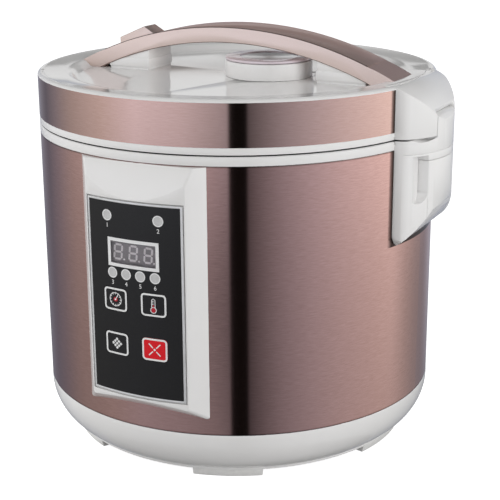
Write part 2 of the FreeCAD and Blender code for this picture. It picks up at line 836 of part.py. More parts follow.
# Hinge housing: white tongue on the body, with the middle knuckle, cup pocket and finger recesses
outside = cylinder(body_radius + press_gap, 0, z_crest + past)
below_seam = box(hinge_core_x, hinge_x + 1.0, -past, past, 0, z_seam)
hinge_housing = envelope.common(below_seam).cut(outside).cut(hinge_groove)
knuckle = across_y(
    knuckle_half,
    (pin_x - hinge_pin_inset, z_collar),
    (pin_x - hinge_pin_inset, pin_z),
    (around_pin(0.5 * math.pi), around_pin(0.0)),
    (hinge_x, z_collar),
)
hinge_housing = hinge_housing.fuse(knuckle.common(hinge_plan()))
cup_top = z_seam - cup_drop
cup_back = body_radius + cup_back_gap
pocket_box = box(cup_back - run_gap, hinge_x + 1.0, -cup_half - run_gap, cup_half + run_gap, 0,
                 cup_top + run_gap)
hinge_housing = hinge_housing.cut(pocket_box)
recess_inner = cup_half + run_gap
recess_z1 = z_seam - recess_drop
recess_x = hinge_x - hinge_reach + recess_depth - 1.0
for side in (-1, 1):
    y_mid = side * (recess_inner + 0.5 * recess_width)
    z_round = recess_z1 - recess_height + 0.5 * recess_width
    well = box(recess_x, hinge_x + 1.0, y_mid - 0.5 * recess_width, y_mid + 0.5 * recess_width, z_round,
               recess_z1)
    well_end = Part.makeCylinder(0.5 * recess_width, hinge_reach, V(recess_x, y_mid, z_round), V(1, 0, 0))
    hinge_housing = hinge_housing.cut(well.fuse(well_end))
groove_z = z_seam - seam_groove_drop
groove = box(body_radius, hinge_x + 1.0, -past, past, groove_z - seam_groove_width, groove_z)
hinge_housing = hinge_housing.cut(groove.cut(hinge_envelope(seam_groove_depth)))
spring_bore = hinge_spring_radius + run_gap
hinge_housing = hinge_housing.cut(cylinder_y(spring_bore, -hinge_spring_half, hinge_spring_half, pin_x,
                                             pin_z))
hinge_housing = hinge_housing.cut(cylinder_y(hinge_pin_radius + press_gap, -past, past, pin_x, pin_z))
save("hinge_housing", hinge_housing.removeSplitter())
save("hinge_pin", cylinder_y(hinge_pin_radius, -hinge_pin_half, hinge_pin_half, pin_x, pin_z))
spring_half = hinge_spring_half - fit_gap
hinge_spring = cylinder_y(hinge_spring_radius, -spring_half, spring_half, pin_x, pin_z)
save("hinge_spring", hinge_spring.cut(cylinder_y(hinge_pin_radius + fit_gap, -past, past, pin_x, pin_z)))

# Dew collector: small cup in the hinge tongue, drawn out along +X
cup_box = box(cup_back, hinge_x + 1.0, -cup_half, cup_half, 0, cup_top)
cup_inside = hinge_envelope(cup_wall).common(
    box(cup_back + cup_wall, hinge_x, -cup_half + cup_wall, cup_half - cup_wall, z_tail + cup_floor_up,
        cup_top + 1.0)
)
save("dew_collector", envelope.common(cup_box).cut(cup_inside))

# Lid top: glossy white moulding with a raised ring, a sunk dish and an inner skirt
skirt_outer = sleeve_bore - fit_gap
lid_skirt_inner = skirt_outer - plastic_wall
z_skirt = z_rim - lid_skirt
rim_mid = (0.5 * (body_radius + crest_radius) + rim_bulge, z_crest - 0.25 * crest_height)
dish_top_radius = dish_radius + dish_step
z_dish_lip = z_crest - dish_lip_drop
sweep_start = dish_radius - dish_edge_soft
sweep_end = dish_top_radius + dish_edge_soft
sweep_run = 0.5 * (sweep_end - sweep_start)
sweep_rise = 0.5 * (z_dish_lip - z_dish)
sweep_turn = 2.0 * math.atan2(sweep_rise, sweep_run)
sweep_radius_in = sweep_run / math.sin(sweep_turn)
sweep_x = sweep_radius_in * math.sin(0.5 * sweep_turn)
sweep_z = sweep_radius_in * (1.0 - math.cos(0.5 * sweep_turn))
sweep_middle = (sweep_start + sweep_run, z_dish + sweep_rise)
dish_surface = [
    (0.0, z_dish + dish_crown),
    (sweep_start, z_dish),
    ((sweep_start + sweep_x, z_dish + sweep_z), sweep_middle),
    ((sweep_end - sweep_x, z_dish_lip - sweep_z), (sweep_end, z_dish_lip)),
    (crest_radius, z_crest),
]
lid_top = revolved(
    *dish_surface,
    (rim_mid, (body_radius, z_rim)),
    (skirt_outer, z_rim),
    (skirt_outer, z_skirt),
    (lid_skirt_inner, z_skirt),
    (lid_skirt_inner, z_rim - 2.0),
    (crest_radius - 1.0, z_crest - plastic_wall),
    (sweep_end, z_dish_lip - plastic_wall),
    (sweep_start + 1.0, z_dish - plastic_wall),
    (0.0, z_dish + dish_crown - plastic_wall),
)
lid_screw_points = list(around(lid_screw_circle, lid_screw_count, lid_screw_first_angle))
for x, y in lid_screw_points:
    lid_top = lid_top.fuse(cylinder(boss_radius - 1.0, z_band, z_crest - plastic_wall, x, y))
for x, y in lid_screw_points:
    lid_top = lid_top.cut(cylinder(screw_radius + fit_gap, z_band, z_band + lid_screw_length, x, y))
z_pad = z_dish + pillar_pad
for x0, x1 in (left_pillar, right_pillar):
    lid_top = lid_top.fuse(box(x0, x1, -pillar_half_width, pillar_half_width, z_dish - 1.0, z_pad))
ring_lip = body_radius - hinge_lip_inset
ring_lip_core = cylinder(ring_lip, 0, z_crest + past)
lid_space = hinge_plan().cut(ring_lip_core)
lid_top = lid_top.cut(lid_space)
lid_top = lid_top.cut(cylinder(stem_radius + run_gap, z_lid, z_crest + 1.0, button_x, 0))
lid_top = lid_top.cut(cylinder(vent_hole, z_lid, z_crest + 1.0, vent_x, 0))
handle_screw_points = [
    (x, side * handle_screw_spread)
    for x in (0.5 * sum(left_pillar) + 6.0, 0.5 * sum(right_pillar) - 6.0)
    for side in (-1, 1)
]
screw_seat = z_dish - plastic_wall - 0.2
for x, y in handle_screw_points:
    lid_top = lid_top.fuse(cylinder(boss_radius, screw_seat, z_dish, x, y))
    lid_top = lid_top.cut(cylinder(screw_radius + fit_gap, screw_seat - 1.0, z_crest, x, y))
save("lid_top", lid_top.removeSplitter())

# Lid band: bronze steel strip between the lid's top and its lower ring
save("lid_band", ring(sleeve_bore, body_radius, z_band, z_rim).cut(lid_space))

# Lid lower ring: closes the lid from below, with ears for the latch pin
ring_guide = lid_skirt_inner - fit_gap
z_guide = z_band + guide_height
ring_inner = seal_inner - 0.5
lid_lower_ring = revolved(
    (body_radius - 0.1, z_lid),
    (body_radius - 0.1, z_band),
    (ring_guide, z_band),
    (ring_guide, z_guide),
    (ring_guide - plastic_wall, z_guide),
    (ring_guide - plastic_wall, z_band),
    (ring_inner, z_band),
    (ring_inner, z_cover),
    (ring_lip, z_cover),
    (ring_lip, z_lid),
)
latch_z = z_lid + latch_up
ear_half = latch_half + run_gap + plastic_wall
ears = box(latch_x - latch_boss, latch_x + latch_boss, -ear_half, ear_half, z_band, latch_z + latch_boss)
ears = ears.cut(box(latch_x - past, latch_x + past, -latch_half - run_gap, latch_half + run_gap, z_band,
                    z_rim))
lid_lower_ring = lid_lower_ring.fuse(ears)
lid_lower_ring = lid_lower_ring.cut(cylinder_y(latch_pin_radius + press_gap, -past, past, latch_x, latch_z))
lid_lower_ring = lid_lower_ring.cut(
    box(hook_slot_x0, hook_slot_x1, -latch_half - run_gap, latch_half + run_gap, z_lid, z_guide)
)
lid_lower_ring = lid_lower_ring.cut(lid_space)
for x, y in lid_screw_points:
    lid_lower_ring = lid_lower_ring.cut(cylinder(screw_radius + fit_gap, z_lid, z_band, x, y))
save("lid_lower_ring", lid_lower_ring.removeSplitter())
lid_screws = []
for x, y in lid_screw_points:
    head = cylinder(screw_head_radius - 0.4, z_lid, z_cover, x, y)
    shank = cylinder(screw_radius, z_cover, z_band + lid_screw_length - 1.0, x, y)
    lid_screws.append(head.fuse(shank).removeSplitter())
save("lid_screws", *lid_screws)

# Lid inner cover: pressed aluminium disc with a ring of steam holes
inner_cover = cylinder(inner_cover_radius, z_cover - inner_cover_thick, z_cover)
for x, y in around(steam_hole_circle, steam_hole_count):
    hole = cylinder(steam_hole_radius, z_cover - inner_cover_thick, z_cover, x + vent_x, y)
    inner_cover = inner_cover.cut(hole)
save("lid_inner_cover", inner_cover)
save("lid_seal", ring(seal_inner, seal_outer, z_flange + seal_gap, z_cover - inner_cover_thick))

# Lid hinge cover: white sloping piece with two lugs on the pin
above_seam = box(hinge_core_x, hinge_x + 1.0, -past, past, z_lid, z_crest + past)
cover = envelope.common(above_seam).cut(ring_lip_core)
knuckle_space = knuckle_half + run_gap
seam_angle = math.radians(knuckle_seam_angle)
seam_far = around_pin(seam_angle, hinge_reach + knuckle_clear)
knuckle_room = across_y(
    knuckle_space,
    (pin_x - knuckle_clear, z_collar),
    (pin_x - knuckle_clear, pin_z),
    (around_pin(0.5 * (math.pi + seam_angle), knuckle_clear), around_pin(seam_angle, knuckle_clear)),
    seam_far,
    (hinge_x + past, seam_far[1]),
    (hinge_x + past, z_collar),
)
cover = cover.cut(knuckle_room)
pin_hole_half = hinge_pin_half + run_gap
cover = cover.cut(cylinder_y(hinge_pin_radius + pin_gap, -pin_hole_half, pin_hole_half, pin_x, pin_z))
save("lid_hinge_cover", cover.removeSplitter())

# Handle: bronze arch on the lid's ring, with the button's slot near its left end
handle_top = z_crest + handle_clear + handle_thick
handle_outer_radius = handle_inner_radius + handle_thick
handle_z = handle_top - handle_outer_radius


def arch(radius, half):
    return cylinder_y(radius, -half, half, handle_x, handle_z)


lid_surface = revolved(
    *dish_surface,
    (rim_mid, (body_radius, z_rim)),
    (body_radius, 0.0),
    (0.0, 0.0),
)
above_lid = cylinder(crest_radius, z_dish, handle_top + 1.0)
handle = arch(handle_outer_radius, handle_half_width).cut(arch(handle_inner_radius, past)).common(above_lid)
handle = handle.cut(lid_surface)
button_slot = box(button_left - run_gap, button_right + run_gap, -button_half - run_gap,
                  button_half + run_gap,
                  z_dish, handle_top + 1.0)
handle = handle.cut(button_slot)
save("handle", handle)

# Handle pillars: white blocks between the lid and the arch; the left one houses the button
under_arch = arch(handle_inner_radius, past)
left_block = box(*left_pillar, -pillar_half_width, pillar_half_width, z_pad, handle_top).common(under_arch)
button_well = box(button_left - run_gap, left_pillar[1] - plastic_wall, -button_half - run_gap,
                  button_half + run_gap,
                  z_pad + plastic_wall, handle_top)
left_block = left_block.cut(button_well).cut(lid_surface)
left_block = left_block.cut(cylinder(stem_radius + run_gap, z_dish, handle_top, button_x, 0))
right_block = box(*right_pillar, -pillar_half_width, pillar_half_width, z_pad, handle_top)
right_block = right_block.common(under_arch).cut(lid_surface)
for x, y in handle_screw_points:
    drilled = cylinder(screw_radius + fit_gap, z_pad - 1.0, z_pad + handle_screw_length, x, y)
    left_block = left_block.cut(drilled)
    right_block = right_block.cut(drilled)
save("left_pillar", left_block)
save("right_pillar", right_block)
handle_screw_rise = z_pad - screw_seat + handle_screw_length - 1.0
save("handle_screws", *[screw(x, y, screw_seat, handle_screw_rise) for x, y in handle_screw_points])


# Release button: bronze wedge that is pressed down through the arch
def arch_top(x, radius=handle_outer_radius):
    return handle_z + math.sqrt(radius ** 2 - (x - handle_x) ** 2)


button_floor = z_pad + plastic_wall + button_travel + run_gap
well_right = left_pillar[1] - plastic_wall - run_gap
z_ledge = arch_top(button_right, handle_inner_radius) + button_travel + run_gap
button = across_y(
    button_half,
    (button_left, button_floor),
    (button_left, arch_top(button_left) + button_low_rise),
    (button_peak, arch_top(button_peak) + button_peak_rise),
    (button_right, arch_top(button_right) - 1.0),
    (button_right, z_ledge),
    (well_right, z_ledge),
    (well_right, button_floor),
)
lever_top = latch_z + latch_boss + latch_lever
stem_low = lever_top + run_gap
button = button.fuse(cylinder(stem_radius, stem_low, button_floor + 1.0, button_x, 0))
save("release_button", button.removeSplitter())
spring_inner = stem_radius + run_gap
button_spring = ring(spring_inner, spring_inner + button_spring_wall, z_pad + plastic_wall,
                     button_floor, button_x, 0)
save("button_spring", button_spring)

# Latch hook: lever inside the lid, pushed by the button's stem
z_tooth = z_seam - latch_reach
hook = cylinder_y(latch_boss, -latch_half, latch_half, latch_x, latch_z)
hook = hook.fuse(box(latch_x - latch_arm, latch_x + latch_arm, -latch_half, latch_half, z_tooth, latch_z))
hook = hook.fuse(box(latch_x, latch_x + latch_arm + latch_tooth, -latch_half, latch_half, z_tooth,
                     z_tooth + 2.5))
hook = hook.fuse(box(latch_x - latch_arm, latch_x + latch_arm, -latch_half, latch_half, latch_z, lever_top))
hook = hook.fuse(
    box(latch_x, button_x + stem_radius, -latch_half, latch_half, lever_top - latch_lever, lever_top)
)
hook = hook.cut(cylinder_y(latch_pin_radius + pin_gap, -past, past, latch_x, latch_z))
save("latch_hook", hook.removeSplitter())
save("latch_pin", cylinder_y(latch_pin_radius, -ear_half, ear_half, latch_x, latch_z))

# Steam vent: white round wall on the dish, with a lift-off cap and its silver disc
z_vent = z_dish + vent_height
vent_floor = z_dish + dish_crown
vent_housing = ring(vent_radius - vent_wall, vent_radius, z_dish, z_vent, vent_x, 0)
vent_housing = vent_housing.fuse(ring(vent_hole, vent_radius, z_dish, vent_floor + 2.0, vent_x, 0))
vent_housing = vent_housing.cut(lid_surface)
save("vent_housing", vent_housing.removeSplitter())
z_cap = z_vent + run_gap
cap_top = z_cap + vent_cap_thick
skirt_radius = vent_radius - vent_wall - run_gap
vent_cap = ring(vent_disc_radius, vent_radius - 0.3, z_cap, cap_top, vent_x, 0)
vent_cap = vent_cap.fuse(ring(skirt_radius - plastic_wall, skirt_radius, z_cap - vent_cap_skirt, z_cap,
                              vent_x, 0))
vent_cap = vent_cap.fuse(ring(vent_disc_radius - 2.0, skirt_radius, z_cap - 1.2, z_cap, vent_x, 0))
save("vent_cap", vent_cap.removeSplitter())
disc_top = cap_top - vent_disc_drop
vent_disc = cylinder(vent_disc_radius - fit_gap, z_cap, disc_top, vent_x, 0)
dimple_radius = (vent_dimple_radius ** 2 + vent_dimple_depth ** 2) / (2 * vent_dimple_depth)
dimple = Part.makeSphere(dimple_radius, V(vent_x, 0, disc_top - vent_dimple_depth + dimple_radius))
save("vent_disc", vent_disc.cut(dimple))
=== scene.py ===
import json
import math

import bpy
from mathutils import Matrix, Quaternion, Vector

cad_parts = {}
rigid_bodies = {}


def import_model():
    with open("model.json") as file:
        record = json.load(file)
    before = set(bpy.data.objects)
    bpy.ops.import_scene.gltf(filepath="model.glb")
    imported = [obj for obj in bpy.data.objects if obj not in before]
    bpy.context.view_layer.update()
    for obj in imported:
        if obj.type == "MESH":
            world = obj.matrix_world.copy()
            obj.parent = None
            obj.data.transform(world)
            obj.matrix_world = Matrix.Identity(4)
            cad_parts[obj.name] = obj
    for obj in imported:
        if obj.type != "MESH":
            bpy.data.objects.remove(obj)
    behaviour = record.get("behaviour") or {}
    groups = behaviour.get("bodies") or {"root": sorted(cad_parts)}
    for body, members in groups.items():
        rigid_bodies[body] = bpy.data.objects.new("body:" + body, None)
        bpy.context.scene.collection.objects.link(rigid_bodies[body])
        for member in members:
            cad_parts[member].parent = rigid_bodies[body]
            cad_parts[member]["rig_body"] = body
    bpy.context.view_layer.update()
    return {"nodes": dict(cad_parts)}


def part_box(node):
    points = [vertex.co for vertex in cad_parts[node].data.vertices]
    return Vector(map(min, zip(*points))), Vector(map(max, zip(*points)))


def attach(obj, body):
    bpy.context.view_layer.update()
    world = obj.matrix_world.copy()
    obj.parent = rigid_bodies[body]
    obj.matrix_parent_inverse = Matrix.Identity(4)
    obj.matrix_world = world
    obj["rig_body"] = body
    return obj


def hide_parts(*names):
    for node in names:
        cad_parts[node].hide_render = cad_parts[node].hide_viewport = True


for leftover in list(bpy.data.objects):
    bpy.data.objects.remove(leftover)
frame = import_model()
nodes = frame["nodes"]

# Feet: six curved pads that the pot stands on, moulded in firm grey rubber and pushed into the
# base plate. Their lower edges are rounded so that they slide on a worktop.
mm = 0.001
sharp_angle = math.radians(30.0)


def linear(hex_colour):
    """An sRGB hex colour as linear red, green, blue and alpha."""
    channels = [int(hex_colour[i:i + 2], 16) / 255 for i in (1, 3, 5)]
    return [c / 12.92 if c <= 0.04045 else ((c + 0.055) / 1.055) ** 2.4 for c in channels] + [1.0]


def add_node(material, kind, settings=None, links=None):
    """Adds one node to a material, sets its values and links its inputs."""
    node = material.node_tree.nodes.new(kind)
    for name, value in (settings or {}).items():
        if isinstance(name, int) or name in node.inputs:
            node.inputs[name].default_value = value
        else:
            setattr(node, name, value)
    for name, source in (links or {}).items():
        material.node_tree.links.new(source, node.inputs[name])
    return node


def new_material(name, settings):
    """A named material; returns it with its main shader node."""
    material = bpy.data.materials.new(name)
    material.use_nodes = True
    shader = material.node_tree.nodes["Principled BSDF"]
    for key, value in settings.items():
        shader.inputs[key].default_value = value
    return material, shader


def mottle(material, shader, size_mm, colours, dent_mm=0.0, stretch=(1.0, 1.0, 1.0)):
    """Cloudy colour between two hex colours, with features of one size, and dents of the same pattern."""
    ramp_ends = (0.3, 0.7)
    place = add_node(material, "ShaderNodeTexCoord")
    spread = add_node(material, "ShaderNodeMapping", {"Scale": [s / (size_mm * mm) for s in stretch]},
                      {"Vector": place.outputs["Object"]})
    cloud = add_node(material, "ShaderNodeTexNoise", {"Scale": 1.0, "Detail": 3.0},
                     {"Vector": spread.outputs["Vector"]})
    tint = add_node(material, "ShaderNodeValToRGB", links={"Fac": cloud.outputs["Fac"]})
    for element, colour, position in zip(tint.color_ramp.elements, colours, ramp_ends):
        element.color = linear(colour)
        element.position = position
    material.node_tree.links.new(tint.outputs["Color"], shader.inputs["Base Color"])
    if dent_mm:
        dent = add_node(material, "ShaderNodeBump", {"Strength": 0.5, "Distance": dent_mm * mm},
                        {"Height": cloud.outputs["Fac"]})
        material.node_tree.links.new(dent.outputs["Normal"], shader.inputs["Normal"])
    return cloud


def finish_node(material, *names):
    """Gives CAD pieces their finish."""
    for name in names:
        nodes[name].data.materials.clear()
        nodes[name].data.materials.append(material)


def copy_mesh(name, mesh):
    """A new object with a copy of a mesh, selected alone and active."""
    piece = bpy.data.objects.new(name, mesh.copy())
    bpy.context.scene.collection.objects.link(piece)
    bpy.ops.object.select_all(action="DESELECT")
    piece.select_set(True)
    bpy.context.view_layer.objects.active = piece
    return piece


def soften(node, edge_mm, material, merge_mm=0.001, flat_degrees=0.5, edge_material=None,
           tips_mm=None):
    """A copy of a CAD piece whose sharp edges are rounded; it stands for the piece and rides with it.

    Corners closer than merge_mm become one, and so do faces whose slopes differ by less than flat_degrees.
    The rounding can have a material of its own, and can leave out tips_mm at both ends of the piece in X.
    """
    piece = copy_mesh(node + "_softened", nodes[node].data)
    bpy.ops.mesh.customdata_custom_splitnormals_clear()
    bpy.ops.object.mode_set(mode="EDIT")
    bpy.ops.mesh.select_all(action="SELECT")
    bpy.ops.mesh.remove_doubles(threshold=merge_mm * mm)
    bpy.ops.mesh.dissolve_limited(angle_limit=math.radians(flat_degrees))
    bpy.ops.mesh.select_all(action="DESELECT")
    bpy.ops.mesh.select_mode(type="EDGE")
    bpy.ops.mesh.edges_select_sharp(sharpness=sharp_angle)
    bpy.ops.object.mode_set(mode="OBJECT")
    rounding = piece.modifiers.new("rounding", "BEVEL")
    rounding.width = edge_mm * mm
    rounding.segments = 3
    rounding.limit_method = "ANGLE"
    rounding.angle_limit = sharp_angle
    if tips_mm:
        low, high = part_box(node)
        weights = piece.data.attributes.new("bevel_weight_edge", "FLOAT", "EDGE")
        for edge in piece.data.edges:
            ends = [piece.data.vertices[index].co.x for index in edge.vertices]
            inside = min(ends) > low.x + tips_mm * mm and max(ends) < high.x - tips_mm * mm
            weights.data[edge.index].value = float(edge.select and inside)
        rounding.limit_method = "WEIGHT"
        rounding.use_clamp_overlap = False
    piece.data.materials.clear()
    piece.data.materials.append(material)
    if edge_material:
        piece.data.materials.append(edge_material)
        rounding.material = 1
    bpy.ops.object.modifier_apply(modifier="rounding")
    bpy.ops.object.shade_smooth_by_angle(angle=sharp_angle)
    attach(piece, nodes[node]["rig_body"])
    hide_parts(node)
    return piece


# Matt rubber: a dry, slightly dusty grey with no clear reflections.
foot_rubber, shader = new_material("moulded_grey_rubber", {"Roughness": 0.65, "IOR": 1.52})
mottle(foot_rubber, shader, size_mm=3.0, colours=("#DEDDDB", "#E6E5E3"), dent_mm=0.05)
soften("feet", edge_mm=0.7, material=foot_rubber)

# Base plate and bowl: the plate closes the bottom and is screwed up into the bowl's bosses. Both are
# injection moulded in white ABS with polished tools, so the skin is bright and even.
# Glossy ABS: sharp but slightly wavy reflections, from the faint orange peel that the tool leaves.
white_abs, shader = new_material("glossy_white_abs", {"Roughness": 0.07, "IOR": 1.54})
mottle(white_abs, shader, size_mm=70.0, colours=("#E3E2E1", "#E7E6E5"))
peel_mm = 4.0
place = add_node(white_abs, "ShaderNodeTexCoord")
peel = add_node(white_abs, "ShaderNodeTexNoise", {"Scale": 1.0 / (peel_mm * mm), "Detail": 1.0},
                {"Vector": place.outputs["Object"]})
dent = add_node(white_abs, "ShaderNodeBump", {"Strength": 0.1, "Distance": 0.02 * mm},
                {"Height": peel.outputs["Fac"]})
white_abs.node_tree.links.new(dent.outputs["Normal"], shader.inputs["Normal"])
soften("base_plate", edge_mm=0.5, material=white_abs)
soften("base_housing", edge_mm=0.5, material=white_abs)

# Base screws: headed from steel wire with a rolled thread, and driven up through the base plate. The
# other screws, the springs and the pins have the same finish.
# Zinc plate: bright, slightly blue and faintly cloudy.
zinc_steel, shader = new_material("zinc_plated_steel", {"Metallic": 1.0, "Roughness": 0.3})
mottle(zinc_steel, shader, size_mm=1.5, colours=("#B4B6BA", "#CACCCE"), dent_mm=0.02)
finish_node(zinc_steel, "base_screws")


# Outer sleeve: stainless sheet rolled into a tube, brushed round the pot and tinted bronze. The
# brushing smears each light up and down, so the sleeve shows upright bands of light and dark. Beside
# the hinge, and at its edges under the collar and the bowl, its colour is darkened to a dark line of
# painted shade.
def brush_round(material, shader):
    """Turns a metal's brushing round the pot's axis."""
    tangent = add_node(material, "ShaderNodeTangent", {"direction_type": "RADIAL", "axis": "Z"})
    material.node_tree.links.new(tangent.outputs["Tangent"], shader.inputs["Tangent"])


def brushed_steel(name, colours, sheet, hinge, foot_shade, head_shade):
    """Brushed steel with painted shade, which fades it to a dark line beside a hinge and at a sheet's lower
    and upper edge.

    A shade is the share of the colour that is left at the edge. Real scratches are 0.05 mm wide; they are
    drawn 0.45 mm wide and 5.6 mm long, so that they show.
    """
    material, shader = new_material(name, {"Metallic": 1.0, "Anisotropic": 1.0,
                                           "Anisotropic Rotation": 0.25})
    scratch_mm = 0.45
    scratch_stretch = 0.08
    roughness = (0.13, 0.155)
    grain = mottle(material, shader, scratch_mm, colours, stretch=(scratch_stretch, scratch_stretch, 1.0))
    gloss = add_node(material, "ShaderNodeMapRange", {"To Min": roughness[0], "To Max": roughness[1]},
                     {"Value": grain.outputs["Fac"]})
    material.node_tree.links.new(gloss.outputs["Result"], shader.inputs["Roughness"])
    brush_round(material, shader)
    hinge_shade_mm = 5.0
    hinge_shade_share = 0.08
    rim_mm = 1.2
    end_y = -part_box(hinge)[0].y
    end_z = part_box(hinge)[0].z
    lower_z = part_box(sheet)[0].z
    upper_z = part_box(sheet)[1].z
    place = add_node(material, "ShaderNodeTexCoord")
    axes = add_node(material, "ShaderNodeSeparateXYZ", links={"Vector": place.outputs["Object"]})
    across = add_node(material, "ShaderNodeMath", {"operation": "ABSOLUTE"}, {0: axes.outputs["Y"]})
    # Painted shade: the colour darkens towards the hinge's sides.
    painted_hinge_shade = add_node(material, "ShaderNodeMapRange", {
        "From Min": end_y, "From Max": end_y + hinge_shade_mm * mm, "To Min": hinge_shade_share,
        "interpolation_type": "SMOOTHSTEP",
    }, {"Value": across.outputs["Value"]})
    far_side = add_node(material, "ShaderNodeMath", {"operation": "LESS_THAN", 1: 0.0},
                        {0: axes.outputs["X"]})
    below = add_node(material, "ShaderNodeMath", {"operation": "LESS_THAN", 1: end_z},
                     {0: axes.outputs["Z"]})
    clear = add_node(material, "ShaderNodeMath", {"operation": "MAXIMUM"},
                     {0: far_side.outputs["Value"], 1: below.outputs["Value"]})
    ends = add_node(material, "ShaderNodeMath", {"operation": "MAXIMUM"},
                    {0: painted_hinge_shade.outputs["Result"], 1: clear.outputs["Value"]})
    # Painted shade: dark lines at the sheet's lower and upper edge.
    foot = add_node(material, "ShaderNodeMapRange", {
        "From Min": lower_z, "From Max": lower_z + rim_mm * mm, "To Min": foot_shade,
    }, {"Value": axes.outputs["Z"]})
    head = add_node(material, "ShaderNodeMapRange", {
        "From Min": upper_z, "From Max": upper_z - rim_mm * mm, "To Min": head_shade,
    }, {"Value": axes.outputs["Z"]})
    rims = add_node(material, "ShaderNodeMath", {"operation": "MULTIPLY"},
                    {0: foot.outputs["Result"], 1: head.outputs["Result"]})
    painted_edge_lines = add_node(material, "ShaderNodeMath", {"operation": "MULTIPLY"},
                     {0: ends.outputs["Value"], 1: rims.outputs["Value"]})
    bronze = shader.inputs["Base Color"].links[0].from_socket
    shaded = add_node(material, "ShaderNodeVectorMath", {"operation": "SCALE"},
                      {"Vector": bronze, "Scale": painted_edge_lines.outputs["Value"]})
    material.node_tree.links.new(shaded.outputs["Vector"], shader.inputs["Base Color"])
    return material


# Tinted steel: a satin rose bronze with fine level scratches.
sleeve_steel = brushed_steel("brushed_bronze_steel_painted_edge_shade", ("#D1A89F", "#DEB5AD"), "outer_sleeve",
                             "hinge_housing", foot_shade=0.2, head_shade=0.3)
finish_node(sleeve_steel, "outer_sleeve")


# Upper collar: white ABS ring pressed into the top of the sleeve; the pot's flange rests in it. Its
# chamfered rim meets the lid's lower ring in a thin dark seam, made darker by painted shade.
# Rim ABS: the same plastic, with painted shade deep in the seam, where the lid comes close over it.
def seam_abs(name, outward, edge):
    """White ABS with painted shade in the lid's seam, a few mm deep behind an edge.

    The edge is that far from the pot's axis, measured along the outward axes.
    """
    material = white_abs.copy()
    material.name = name
    shader = material.node_tree.nodes["Principled BSDF"]
    white = shader.inputs["Base Color"].links[0].from_socket
    seam_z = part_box("upper_collar")[1].z
    seam_reach = 2.5 * mm
    seam_depth = 4.0 * mm
    closed_share = 0.4
    open_share = 0.7
    deepest_loss = 0.96
    # Painted shade: the colour falls dark where ambient occlusion finds another piece close by.
    near = add_node(material, "ShaderNodeAmbientOcclusion", {"Distance": seam_depth, "samples": 8})
    depth = add_node(material, "ShaderNodeMapRange", {
        "From Min": closed_share, "From Max": open_share, "To Min": deepest_loss, "To Max": 0.0,
    }, {"Value": near.outputs["AO"]})
    place = add_node(material, "ShaderNodeTexCoord")
    axes = add_node(material, "ShaderNodeSeparateXYZ", links={"Vector": place.outputs["Object"]})
    in_seam = add_node(material, "ShaderNodeMath", {"operation": "COMPARE", 1: seam_z, 2: seam_reach},
                       {0: axes.outputs["Z"]})
    across = add_node(material, "ShaderNodeVectorMath", {"operation": "MULTIPLY", 1: outward},
                      {0: place.outputs["Object"]})
    far = add_node(material, "ShaderNodeVectorMath", {"operation": "LENGTH"},
                   {0: across.outputs["Vector"]})
    at_edge = add_node(material, "ShaderNodeMath", {"operation": "GREATER_THAN", 1: edge - seam_depth},
                       {0: far.outputs["Value"]})
    where = add_node(material, "ShaderNodeMath", {"operation": "MULTIPLY"},
                     {0: in_seam.outputs["Value"], 1: at_edge.outputs["Value"]})
    loss = add_node(material, "ShaderNodeMath", {"operation": "MULTIPLY"},
                    {0: depth.outputs["Result"], 1: where.outputs["Value"]})
    left = add_node(material, "ShaderNodeMath", {"operation": "SUBTRACT", 0: 1.0},
                    {1: loss.outputs["Value"]})
    shaded = add_node(material, "ShaderNodeVectorMath", {"operation": "SCALE"},
                      {"Vector": white, "Scale": left.outputs["Value"]})
    material.node_tree.links.new(shaded.outputs["Vector"], shader.inputs["Base Color"])
    return material


rim_abs_painted_shade = seam_abs("glossy_white_abs_rim_painted_seam_shade", (1.0, 1.0, 0.0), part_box("upper_collar")[1].x)
soften("upper_collar", edge_mm=0.4, material=rim_abs_painted_shade)

# Pot and heating: a drawn and spun steel pot in a sheet-steel chamber, on a cast aluminium heater
# with a steel-sheathed element, a sprung temperature sensor and a thermal fuse.
# Spun steel: rings round the axis, drawn coarse enough to show, which turn each light into two bright fans.
pot_steel, shader = new_material("spun_stainless_steel", {"Metallic": 1.0, "Roughness": 0.28,
                                                          "Anisotropic": 0.6, "Anisotropic Rotation": 0.25})
ring_mm = 1.4
# A wave texture of scale 1 repeats at this length.
wave_unit = 0.314
place = add_node(pot_steel, "ShaderNodeTexCoord")
rings = add_node(pot_steel, "ShaderNodeTexWave", {
    "wave_type": "RINGS", "rings_direction": "Z", "Scale": wave_unit / (ring_mm * mm), "Distortion": 0.6,
}, {"Vector": place.outputs["Object"]})
tint = add_node(pot_steel, "ShaderNodeValToRGB", links={"Fac": rings.outputs["Fac"]})
tint.color_ramp.elements[0].color = linear("#BDBCBA")
tint.color_ramp.elements[1].color = linear("#CFCECC")
pot_steel.node_tree.links.new(tint.outputs["Color"], shader.inputs["Base Color"])
brush_round(pot_steel, shader)
finish_node(pot_steel, "inner_pot", "lid_inner_cover")
finish_node(zinc_steel, "inner_chamber", "temperature_sensor", "sensor_spring", "sensor_bracket")
# Cast aluminium: dull grey with the open grain of the mould.
cast_aluminium, shader = new_material("cast_aluminium", {"Metallic": 1.0, "Roughness": 0.5})
mottle(cast_aluminium, shader, size_mm=2.0, colours=("#A9A9A8", "#BEBEBC"), dent_mm=0.1)
finish_node(cast_aluminium, "heater_plate")
# Heat-stained steel: brown and straw-grey patches.
stained_steel, shader = new_material("heat_stained_steel", {"Metallic": 1.0, "Roughness": 0.4})
mottle(stained_steel, shader, size_mm=9.0, colours=("#8D8378", "#A39A90"))
finish_node(stained_steel, "heating_element", "thermal_fuse")

# Panel surround: a raised white ABS moulding clipped to the sleeve, with a thin silver line set in
# the groove round the black overlay. Its edges are rounded.
soften("panel_bezel", edge_mm=0.6, material=white_abs)
